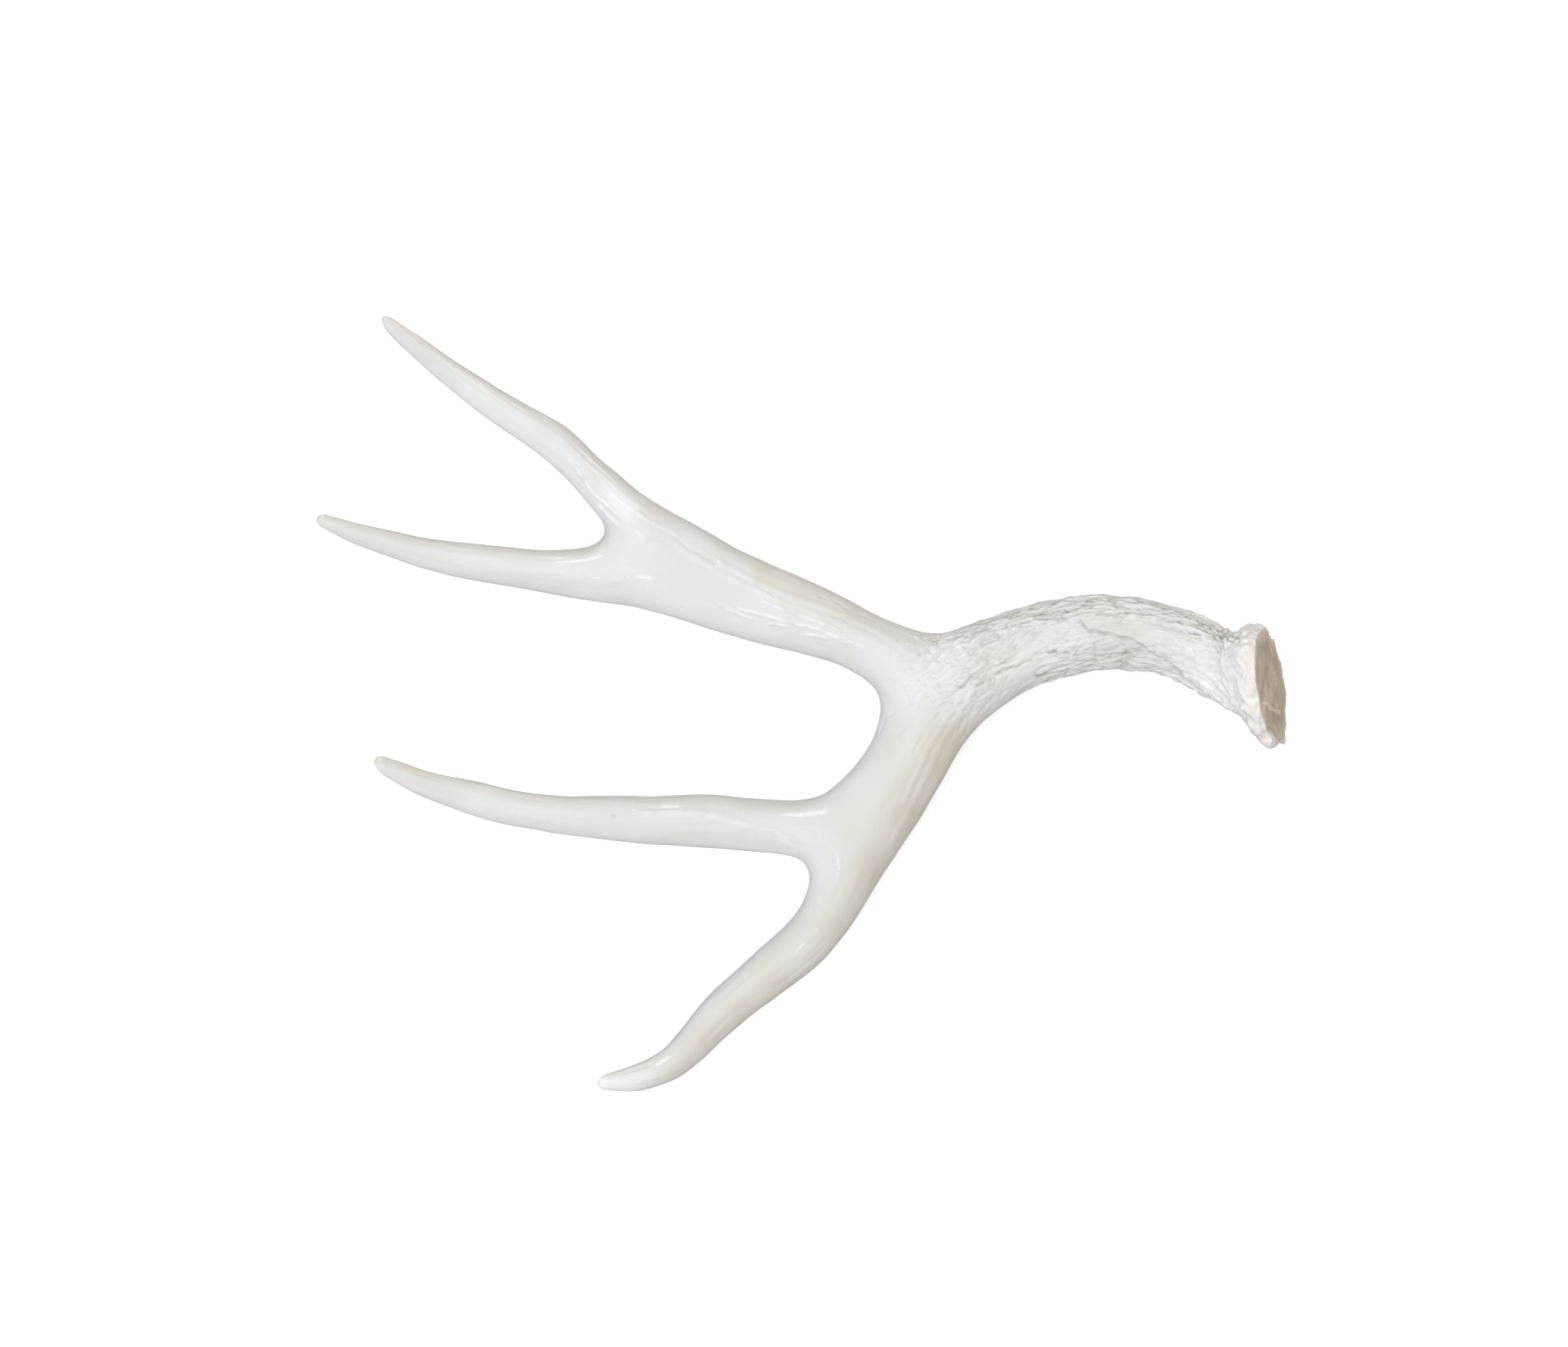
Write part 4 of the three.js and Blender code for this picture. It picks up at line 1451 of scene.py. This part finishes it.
@dataclass(frozen=True)
class SealRelief:
    """The seal face's shallow hollows and grain, and one low ridge across it."""

    inner: Point2 = (0.7, 0.96)
    hollow_depth: float = 0.9
    hollow_size: float = 8.0
    hollow_shade: float = 0.5
    hollow_edge: Point2 = (-0.3, 0.2)
    grain_depth: float = 0.35
    grain_size: float = 2.1
    ridge: Line = ((208.6, 2.6), (212.5, 0.4), (218.4, -2.3))
    ridge_height: float = 0.9
    ridge_reach: float = 1.3
    ridge_waver: float = 0.7
    ridge_clear: float = 0.6

    def carve(self, skin: Skin) -> None:
        """Moves the inner points of the face to and fro along its normal.

        The height is the sum of two sizes of noise and a ridge that falls off smoothly from its
        line. The low places get painted shade, and the ridge is cleared of it and gets a painted
        highlight.

        Args:
            skin: The skin to carve.
        """
        inner = fade_between(skin.share, *self.inner)
        hollows = skin.space_noise(Seed.SEAL_HOLLOWS, self.hollow_size)
        grain = skin.space_noise(Seed.SEAL_GRAIN, self.grain_size)
        waver = self.ridge_waver * skin.space_noise(Seed.SEAL_WAVER, self.hollow_size)
        gap = distance_to_line(skin.places + waver[:, None], self.ridge)
        ridge = fade_between(gap, 0.0, self.ridge_reach)
        height = self.hollow_depth * hollows + self.grain_depth * grain + self.ridge_height * ridge
        skin.shove += (inner * height)[:, None] * skin.normals
        # Painted shade in the low places, cleared on the ridge.
        shade = self.hollow_shade * fade_between(hollows, *self.hollow_edge)
        skin.crease_shade += inner * (shade - self.ridge_clear * ridge)
        # Painted highlight along the ridge.
        skin.bleach += inner * ridge


@dataclass(frozen=True)
class Tints:
    """Patches of colour: stains mixed with painted warm shade, and pale bone mixed with painted
    highlights; lines, how far each spreads, and its strength.
    """

    # Warm patches: stains, and painted warm shade on flanks.
    warm: tuple[tuple[Line, float, float], ...] = (
        (((42.9, -8.5), (39.4, -18.9)), 7.0, 0.3),
        (((128.0, 42.0), (140.0, 40.0), (152.0, 38.0)), 8.0, 0.5),
        (((206.0, -14.0), (200.0, 12.0), (203.0, 37.0)), 10.0, 0.28),
        # Painted warm shade along the beam's far edge.
        (((134.0, 49.0), (160.0, 45.0), (195.0, 32.0)), 9.0, 0.1),
        # Painted warm shade along the front branch's right-hand flank.
        (((80.0, -18.0), (63.0, -38.0), (52.0, -54.0), (38.0, -76.0)), 23.0, 0.9),
        # Painted warm shade along the front lower tine's right-hand flank.
        (((24.0, -100.0), (0.0, -128.0), (-32.0, -151.0), (-60.0, -174.0)), 20.0, 0.6),
        (((60.0, 34.0), (90.0, 41.0), (120.0, 48.0)), 9.0, 0.25),
        (((40.0, 32.0), (10.0, 46.0), (-20.0, 60.0)), 7.0, 0.35),
        (((-18.0, 30.0), (30.0, 12.0)), 6.0, 0.2),
        (((-62.0, 68.0), (-40.0, 58.0)), 20.0, 0.16),
        (((62.0, -5.0), (42.0, -35.0), (24.0, -56.0)), 24.0, 0.3),
        (((66.0, -10.0), (52.0, -30.0), (42.0, -46.0)), 15.0, 0.35),
        (((22.0, -80.0), (-5.0, -110.0), (-35.0, -140.0), (-56.0, -158.0)), 20.0, 0.44),
        (((-6.0, -100.0), (-24.0, -120.0), (-50.0, -146.0)), 8.0, 0.12),
        (((-160.0, -39.0), (-190.0, -27.0)), 10.0, 0.4),
        (((-200.0, 78.0), (-222.0, 87.0)), 8.0, 0.3),
        (((-170.0, 160.0), (-190.0, 176.0)), 8.0, 0.3),
    )
    # Pale patches: pale bone, and painted highlights.
    pale: tuple[tuple[Line, float, float], ...] = (
        (((-80.0, 94.0), (-100.0, 110.0), (-128.0, 130.0), (-150.0, 143.0)), 15.0, 0.4),
        (((-70.0, -166.0), (-96.0, -172.0)), 26.0, 0.62),
        # Painted highlight on the rear fork.
        (((-91.0, 103.0), (-75.0, 80.0)), 6.0, 0.2),
        (((92.0, 17.0), (108.0, 22.0), (122.0, 28.0)), 11.0, 0.35),
        (((52.0, 6.0), (66.0, 14.0)), 20.0, 0.25),
        (((128.0, 46.0), (150.0, 46.0)), 7.0, 0.5),
        (((184.0, 12.0), (203.0, -2.0)), 12.0, 0.4),
        (((-110.0, 66.0), (-160.0, 70.0)), 12.0, 0.3),
    )
    even: float = 0.85
    uneven: float = 0.45
    cloud_size: float = 15.0
    collar: Point2 = (24.0, 74.0)
    collar_share: float = 0.75
    collar_bright: Point2 = (9.0, 20.0)
    collar_least: float = 0.6
    collar_rim: Point2 = (0.9, 1.0)
    painted_flank_shade: float = 0.5
    flank_shade_way: Point3 = (0.5, 0.85, -0.15)
    flank_shade_grows: Point2 = (0.1, 0.75)
    flank_shade_beam_loss: float = 0.8

    def carve(self, skin: Skin) -> None:
        """Adds each patch as a smooth fade of the distance to its line, broken up by noise.

        A painted warm shade in the stain's colour darkens the flanks that face its way, and pale
        bone lies on the collar.

        Args:
            skin: The skin to carve.
        """
        broken = self.even + self.uneven * skin.space_noise(Seed.TINTS, self.cloud_size)
        for tint, spots in ((skin.stain_and_shade, self.warm), (skin.bleach, self.pale)):
            for line, reach, strength in spots:
                near = fade_between(distance_to_line(skin.places, line), 0.0, reach)
                tint += strength * near * broken * skin.upward
        # Painted warm shade on the flanks facing this way.
        facing = skin.normals @ unit(np.array(self.flank_shade_way))
        painted_flank_shade = self.painted_flank_shade * ease_between(facing, *self.flank_shade_grows) * broken
        skin.stain_and_shade += painted_flank_shade * (1.0 - self.flank_shade_beam_loss * skin.on_beam)
        near = at_least(self.collar_least, fade_between(skin.along, *self.collar_bright))
        near = near * fade_between(skin.along, *self.collar)
        near = near * ease_between(skin.share, *self.collar_rim)
        skin.bleach += self.collar_share * skin.on_beam * near
        for tint in (skin.crease_shade, skin.stain_and_shade, skin.bleach):
            np.clip(tint, 0.0, 1.0, out=tint)


# ---- Finishes ----


@dataclass(frozen=True)
class Clouds:
    """Noise in a finish, graded evenly from a range of its values onto a target, and clamped."""

    per_metre: float
    detail: float
    source: Point2
    target: Point2 = (0.0, 1.0)


@dataclass(frozen=True)
class Bumps:
    """Noise that bends a finish's normals: its depth in metres, and how much of it shows."""

    per_metre: float
    detail: float
    depth: float
    strength: float


class NodeSheet:
    """A material's node tree, with short ways to add what the finishes need."""

    SHARE_IN = 0
    ONE_IN = 6
    OTHER_IN = 7
    COLOUR_OUT = 2

    def __init__(self, name: str) -> None:
        """Starts a material with its shader and Object coordinates.

        Args:
            name: The material's name.
        """
        self.material = bpy.data.materials.new(name)
        self.material.use_nodes = True
        self.tree = self.material.node_tree
        self.shader = self.tree.nodes["Principled BSDF"]
        self.place = self.tree.nodes.new("ShaderNodeTexCoord").outputs["Object"]

    def grain(self, per_metre: float, detail: float) -> bpy.types.NodeSocket:
        """Adds noise with so many grains to the metre, and gives its value.

        Args:
            per_metre: How many grains a metre has.
            detail: How many finer layers the grains have.

        Returns:
            The socket of the value.
        """
        noise = self.tree.nodes.new("ShaderNodeTexNoise")
        noise.inputs["Scale"].default_value = per_metre
        noise.inputs["Detail"].default_value = detail
        self.tree.links.new(self.place, noise.inputs["Vector"])
        return noise.outputs["Fac"]

    def clouded(self, clouds: Clouds) -> bpy.types.NodeSocket:
        """Adds clouds, and gives their graded value.

        Args:
            clouds: The clouds.

        Returns:
            The socket of the value.
        """
        mapper = self.tree.nodes.new("ShaderNodeMapRange")
        ends = (*clouds.source, *clouds.target)
        for name, number in zip(("From Min", "From Max", "To Min", "To Max"), ends):
            mapper.inputs[name].default_value = number
        value = self.grain(clouds.per_metre, clouds.detail)
        self.tree.links.new(value, mapper.inputs["Value"])
        return mapper.outputs["Result"]

    def attribute(self, name: str) -> bpy.types.NodeSocket:
        """Gives the value of one of the surface's own attributes.

        Args:
            name: The attribute's name.

        Returns:
            The socket of the value.
        """
        reader = self.tree.nodes.new("ShaderNodeAttribute")
        reader.attribute_name = name
        return reader.outputs["Fac"]

    def mixed(
        self,
        one: Point3 | bpy.types.NodeSocket,
        other: Point3,
        share: bpy.types.NodeSocket,
    ) -> bpy.types.NodeSocket:
        """Mixes a colour into another.

        Args:
            one: The colour at share 0, or the socket that gives it.
            other: The colour at share 1.
            share: The share.

        Returns:
            The mixed colour.
        """
        mixer = self.tree.nodes.new("ShaderNodeMix")
        mixer.data_type = "RGBA"
        if isinstance(one, bpy.types.NodeSocket):
            self.tree.links.new(one, mixer.inputs[self.ONE_IN])
        else:
            mixer.inputs[self.ONE_IN].default_value = (*one, 1.0)
        mixer.inputs[self.OTHER_IN].default_value = (*other, 1.0)
        self.tree.links.new(share, mixer.inputs[self.SHARE_IN])
        return mixer.outputs[self.COLOUR_OUT]

    def bumped(
        self, bumps: Bumps, over: bpy.types.NodeSocket | None = None
    ) -> bpy.types.NodeSocket:
        """Adds bumps.

        Args:
            bumps: The bumps.
            over: The bent normal of other bumps that they lie on.

        Returns:
            The bent normal.
        """
        bump = self.tree.nodes.new("ShaderNodeBump")
        bump.inputs["Distance"].default_value = bumps.depth
        bump.inputs["Strength"].default_value = bumps.strength
        height = self.grain(bumps.per_metre, bumps.detail)
        self.tree.links.new(height, bump.inputs["Height"])
        if over is not None:
            self.tree.links.new(over, bump.inputs["Normal"])
        return bump.outputs["Normal"]

    def feed(self, name: str, value: bpy.types.NodeSocket) -> None:
        """Links a value to one of the shader's sockets."""
        self.tree.links.new(value, self.shader.inputs[name])

    def fix(self, **numbers: float) -> None:
        """Sets even values on the shader's own sockets; an underscore stands for a space."""
        for name, number in numbers.items():
            self.shader.inputs[name.replace("_", " ")].default_value = number


@dataclass(frozen=True)
class LacqueredBone:
    """Bleached bone under clear gloss lacquer, with painted beige shade in its creases, stains
    and painted warm shade on its flanks, and pale bone with painted highlights.
    """

    name: str
    white: Point3 = (0.712, 0.716, 0.722)
    cream: Point3 = (0.70, 0.68, 0.645)
    # Colour of the painted shade in creases, cuts and hollows.
    crease_shade: Point3 = (0.37, 0.34, 0.305)
    # Colour of the stains and of the painted warm shade on flanks.
    stain_and_shade: Point3 = (0.62, 0.57, 0.48)
    # Colour of the pale bone and of the painted highlights.
    pale: Point3 = (0.865, 0.875, 0.89)
    clouds: Clouds = Clouds(24.0, 2.0, (0.42, 0.68), (0.0, 0.75))
    flecks: Clouds = Clouds(420.0, 4.0, (0.52, 0.72), (0.0, 0.35))
    roughness: Clouds = Clouds(90.0, 3.0, (0.35, 0.65), (0.34, 0.5))
    fine_bumps: Bumps = Bumps(650.0, 5.0, 0.0004, 0.35)
    broad_bumps: Bumps = Bumps(150.0, 2.0, 0.0010, 0.25)
    coat: float = 0.6
    coat_roughness: float = 0.08
    ior: float = 1.5

    def material(self) -> bpy.types.Material:
        """Builds the material.

        Returns:
            The material.
        """
        sheet = NodeSheet(self.name)
        tone = sheet.mixed(self.white, self.cream, sheet.clouded(self.clouds))
        tone = sheet.mixed(tone, self.cream, sheet.clouded(self.flecks))
        # Pale bone and painted highlights, stains and painted warm shade, and painted crease shade.
        for name, colour in (
            ("bleach", self.pale),
            ("stain_and_shade", self.stain_and_shade),
            ("crease_shade", self.crease_shade),
        ):
            tone = sheet.mixed(tone, colour, sheet.attribute(name))
        sheet.feed("Base Color", tone)
        sheet.feed("Roughness", sheet.clouded(self.roughness))
        sheet.feed("Normal", sheet.bumped(self.broad_bumps, sheet.bumped(self.fine_bumps)))
        sheet.fix(IOR=self.ior, Coat_IOR=self.ior)
        sheet.fix(Coat_Weight=self.coat, Coat_Roughness=self.coat_roughness)
        return sheet.material


@dataclass(frozen=True)
class BurrBone(LacqueredBone):
    """The bone of the beam, a little creamier, and warmer where it is stained or carries painted
    warm shade, or where it is pale or painted light.
    """

    stain_and_shade: Point3 = (0.62, 0.555, 0.5)
    pale: Point3 = (0.9, 0.872, 0.852)
    clouds: Clouds = Clouds(24.0, 2.0, (0.42, 0.68), (0.0, 0.9))


@dataclass(frozen=True)
class SealBone:
    """The bare tan face where the antler let go of the skull. Its tan is partly the bone's own
    colour and partly painted warm shade of a face turned away from the light; it also gets
    painted shade in its hollows and a painted highlight on its ridge.
    """

    name: str
    # Partly the bone's own colour, partly painted warm shade of a face turned from the light.
    tan: Point3 = (0.55, 0.44, 0.31)
    pale: Point3 = (0.67, 0.555, 0.415)
    # Colour of the pores and of the painted shade in the hollows.
    dark: Point3 = (0.36, 0.265, 0.175)
    # Colour of the painted highlight on the face's ridge.
    ridge: Point3 = (0.8, 0.69, 0.54)
    clouds: Clouds = Clouds(70.0, 3.0, (0.4, 0.65))
    pores: Clouds = Clouds(900.0, 3.0, (0.55, 0.7), (0.0, 0.7))
    roughness: Clouds = Clouds(120.0, 3.0, (0.35, 0.65), (0.38, 0.58))
    bumps: Bumps = Bumps(900.0, 4.0, 0.0006, 0.5)
    coat: float = 0.35
    coat_roughness: float = 0.15
    coat_ior: float = 1.5

    def material(self) -> bpy.types.Material:
        """Builds the material.

        Returns:
            The material.
        """
        sheet = NodeSheet(self.name)
        tone = sheet.mixed(self.tan, self.pale, sheet.clouded(self.clouds))
        tone = sheet.mixed(tone, self.dark, sheet.clouded(self.pores))
        # Painted highlight on the ridge and painted shade in the hollows.
        for name, colour in (("bleach", self.ridge), ("crease_shade", self.dark)):
            tone = sheet.mixed(tone, colour, sheet.attribute(name))
        sheet.feed("Base Color", tone)
        sheet.feed("Roughness", sheet.clouded(self.roughness))
        sheet.feed("Normal", sheet.bumped(self.bumps))
        sheet.fix(Coat_IOR=self.coat_ior)
        sheet.fix(Coat_Weight=self.coat, Coat_Roughness=self.coat_roughness)
        return sheet.material


@dataclass(frozen=True)
class PaleBoard:
    """The matt pale floor, which glows faintly so that it stays even."""

    name: str
    tone: Point3 = (0.96, 0.96, 0.96)
    dimmer: float = 0.98
    clouds: Clouds = Clouds(3.0, 3.0, (0.3, 0.7))
    roughness: float = 0.9
    shine: float = 0.1
    glow: float = 0.3

    def material(self) -> bpy.types.Material:
        """Builds the material.

        Returns:
            The material.
        """
        sheet = NodeSheet(self.name)
        dim = tuple(self.dimmer * part for part in self.tone)
        sheet.feed("Base Color", sheet.mixed(self.tone, dim, sheet.clouded(self.clouds)))
        sheet.fix(Roughness=self.roughness, Specular_IOR_Level=self.shine)
        sheet.fix(Emission_Strength=self.glow)
        return sheet.material


# ---- The antler ----


@dataclass
class Antler:
    """The whole antler: form, carving, finishes, and the seven pieces that stand for the nodes."""

    levels: int = 3
    rim_share: float = 0.988
    rim_uneven: float = 0.014
    rim_grain: float = 3.0
    turn_along: Point2 = (0.0, 3.0)
    inset: float = 0.15
    carvings: tuple = (
        Swells(),
        Plate(),
        Bark(),
        Pearls(),
        Creases(),
        Nick(),
        Burr(),
        SealRelief(),
        Tints(),
    )

    def build(self) -> None:
        """Makes the skin, carves it and parts it into pieces."""
        cage = AntlerCage(MAIN_BEAM)
        skin = cage.refine(self.levels)
        for carving in self.carvings:
            carving.carve(skin)
        self.raise_skin(skin, cage)
        shift = self.shift_to_frame(skin, cage)
        log.info("the form lies %s mm from the frame", shift.round(3))
        bone = LacqueredBone("lacquered_bone").material()
        burr = BurrBone("burr_bone").material()
        seal = SealBone("seal_face_bone").material()
        for number, limb in enumerate(cage.limbs):
            is_beam = limb is MAIN_BEAM
            piece = self.piece(skin, cage, number, shift)
            for finish in (burr, seal) if is_beam else (bone,):
                piece.data.materials.append(finish)
            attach(piece, "root")
            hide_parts(limb.name)
            log.info("%s: %d faces", piece.name, len(piece.data.polygons))

    def raise_skin(self, skin: Skin, cage: AntlerCage) -> None:
        """Moves each point by its carved height along its normal.

        Near the burr's rim and on the seal face the direction turns into the plane of the face, so
        the face stays flat: it is (1 - w) r + w n, with r the way out from the face's middle in
        that plane, n the normal and w rising with the distance along the beam.

        Args:
            skin: The skin to move.
            cage: The cage, for the direction of the face.
        """
        middle = cage.places[cage.face_rings[0, 0]]
        out = skin.places - middle
        out = out - (out @ cage.face_normal)[:, None] * cage.face_normal
        share = np.where(skin.on_beam, ease_between(skin.along, *self.turn_along), 1.0)[:, None]
        ways = unit((1.0 - share) * unit(out) + share * skin.normals)
        skin.places = skin.places + skin.height[:, None] * ways + skin.shove
        skin.normals = skin.find_normals()

    def shift_to_frame(self, skin: Skin, cage: AntlerCage) -> np.ndarray:
        """Gives the way from the form's frame to the part's, in millimetres.

        The far ends of the two rear tines fix x and y, and the skin's lowest point lies on z = 0.

        Args:
            skin: The carved skin.
            cage: The cage.

        Returns:
            The shift.
        """
        low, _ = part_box(REAR_LOWER_TINE.name)
        _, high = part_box(REAR_UPPER_TINE.name)
        across = low.x / MM - cage.places[cage.rings[REAR_LOWER_TINE.name]][..., 0].min()
        along = high.y / MM - cage.places[cage.rings[REAR_UPPER_TINE.name]][..., 1].max()
        return np.array([across, along, -skin.places[:, 2].min()])

    def piece(
        self, skin: Skin, cage: AntlerCage, number: int, shift: np.ndarray
    ) -> bpy.types.Object:
        """Cuts one limb out of the skin and closes its ends with flat-fanned caps.

        Args:
            skin: The carved skin.
            cage: The cage, for the limbs.
            number: Which limb.
            shift: The way to the part's frame.

        Returns:
            The piece, closed and with the normals of the whole skin.
        """
        limb = cage.limbs[number]
        owners = skin.limb_of_quad
        mine = (owners == number) | ((number == 0) & (owners == len(cage.limbs)))
        used, quads = np.unique(skin.quads[mine], return_inverse=True)
        quads = quads.reshape(-1, 4)
        places, normals = skin.places[used], skin.normals[used]
        hubs = [other.fork.hub for other in cage.limbs if other is limb and other.fork]
        hubs += [other.fork.hub for other in cage.limbs if limb in other.children]
        inwards = unit(places.mean(axis=0) - np.array(hubs))
        centres = np.array(hubs) + self.inset * inwards
        caps = self.caps(quads, places, centres)
        places = np.concatenate([places, centres])
        normals = np.concatenate([normals, -inwards])
        mesh = bpy.data.meshes.new(f"{limb.name}_bone")
        mesh.from_pydata(((places + shift) * MM).tolist(), [], quads.tolist() + caps.tolist())
        mesh.polygons.foreach_set("use_smooth", np.ones(len(mesh.polygons), bool))
        shares = skin.share[skin.quads[mine]].mean(axis=1)
        finish = np.zeros(len(mesh.polygons), np.int32)
        bare = ~skin.on_tooth[skin.quads[mine]].any(axis=1) & (owners[mine] == len(cage.limbs))
        edge = self.rim_share
        edge = edge + self.rim_uneven * skin.space_noise(Seed.SEAL_RIM, self.rim_grain)
        finish[: len(quads)] = bare & (shares < edge[skin.quads[mine]].mean(axis=1))
        mesh.polygons.foreach_set("material_index", finish)
        # These carry painted shade, stains with painted warm shade, and pale bone with painted
        # highlights.
        for name in ("crease_shade", "stain_and_shade", "bleach"):
            values = getattr(skin, name)
            padded = np.concatenate([values[used], np.zeros(len(centres))])
            mesh.attributes.new(name, "FLOAT", "POINT").data.foreach_set("value", padded)
        mesh.normals_split_custom_set_from_vertices(normals.tolist())
        piece = bpy.data.objects.new(mesh.name, mesh)
        bpy.context.scene.collection.objects.link(piece)
        return piece

    def caps(self, quads: np.ndarray, places: np.ndarray, centres: np.ndarray) -> np.ndarray:
        """Joins each open edge to the nearest centre.

        An edge is open if no other patch runs along it the other way.

        Args:
            quads: The patches of the limb.
            places: Its points.
            centres: The centre of each open end.

        Returns:
            Triangles, which face outwards.
        """
        edges = np.concatenate([quads[:, [side, (side + 1) % 4]] for side in range(4)])
        size = len(places)
        forth, back = edges[:, 0] * size + edges[:, 1], edges[:, 1] * size + edges[:, 0]
        rim = edges[~np.isin(back, forth)]
        gap = lengths(places[rim].mean(axis=1)[:, None] - centres[None])
        return np.stack([rim[:, 1], rim[:, 0], size + gap.argmin(axis=1)], axis=-1)


# ---- Studio ----


@dataclass(frozen=True)
class SoftBox:
    """A square area light that looks at a point."""

    name: str
    place: Point3
    size: Point2
    power: float
    tone: Point3
    mirrored: bool = True
    lit: bool = True
    target: Point3 = (0.0, 0.0, 0.02)

    def hang(self) -> None:
        """Adds the light, unseen by the camera."""
        light = bpy.data.lights.new(self.name, "AREA")
        light.shape = "RECTANGLE"
        light.size, light.size_y = self.size
        light.energy = self.power
        light.color = self.tone
        lamp = bpy.data.objects.new(self.name, light)
        lamp.location = self.place
        way = Vector(self.target) - lamp.location
        lamp.rotation_euler = way.to_track_quat("-Z", "Y").to_euler()
        lamp.visible_camera = False
        lamp.visible_glossy = self.mirrored
        lamp.visible_diffuse = self.lit
        bpy.context.scene.collection.objects.link(lamp)


@dataclass(frozen=True)
class Studio:
    """The floor, the light and the camera."""

    floor_reach: float = 12.0
    camera_place: Point3 = (-0.00955, 0.01542, 2.033)
    lens: float = 100.0
    sensor: float = 36.0
    ambient: float = 0.5
    boxes: tuple[SoftBox, ...] = (
        SoftBox("overhead", (-0.15, 0.1, 2.3), (1.6, 1.6), 25.7, (1.0, 1.0, 1.0), False),
        SoftBox("cool_side", (-1.4, -1.3, 1.3), (1.1, 1.1), 6.5, (0.86, 0.93, 1.0), False),
        SoftBox("cool_glint", (-1.4, -1.3, 1.3), (1.0, 1.0), 9.5, (0.86, 0.93, 1.0)),
        SoftBox("back_window", (-0.3, 1.9, 1.0), (0.9, 0.5), 7.5, (0.94, 0.97, 1.0)),
        SoftBox("warm_side", (1.6, 0.9, 0.9), (0.9, 0.6), 4.5, (1.0, 0.88, 0.72)),
        SoftBox("small_glint", (-0.35, -0.8, 2.0), (0.3, 0.16), 0.9, (1.0, 1.0, 1.0), lit=False),
    )

    def set_up(self) -> None:
        """Lays the floor, hangs the lights and places the camera."""
        self.lay_floor()
        for box in self.boxes:
            box.hang()
        world = bpy.data.worlds.new("studio_air")
        world.use_nodes = True
        glow = world.node_tree.nodes["Background"]
        glow.inputs["Color"].default_value = (1.0, 1.0, 1.0, 1.0)
        glow.inputs["Strength"].default_value = self.ambient
        scene = bpy.context.scene
        scene.world = world
        scene.view_settings.view_transform = "Standard"
        eye = bpy.data.cameras.new("camera")
        eye.lens = self.lens
        eye.sensor_width = self.sensor
        camera = bpy.data.objects.new("camera", eye)
        camera.location = self.camera_place
        scene.collection.objects.link(camera)
        scene.camera = camera

    def lay_floor(self) -> None:
        """Lays a square floor just under the antler, which throws no light back up at it."""
        reach = self.floor_reach
        corners = [(-reach, -reach, 0.0), (reach, -reach, 0.0), (reach, reach, 0.0)]
        corners.append((-reach, reach, 0.0))
        mesh = bpy.data.meshes.new("floor")
        mesh.from_pydata(corners, [], [(0, 1, 2, 3)])
        mesh.materials.append(PaleBoard("pale_floor").material())
        floor = bpy.data.objects.new("floor", mesh)
        bpy.context.scene.collection.objects.link(floor)
        floor.visible_diffuse = False
        floor.visible_glossy = False


def main() -> None:
    """Builds the antler and its studio."""
    logging.basicConfig(level=logging.INFO, format="%(message)s")
    Antler().build()
    Studio().set_up()


if __name__ == "__main__":
    main()
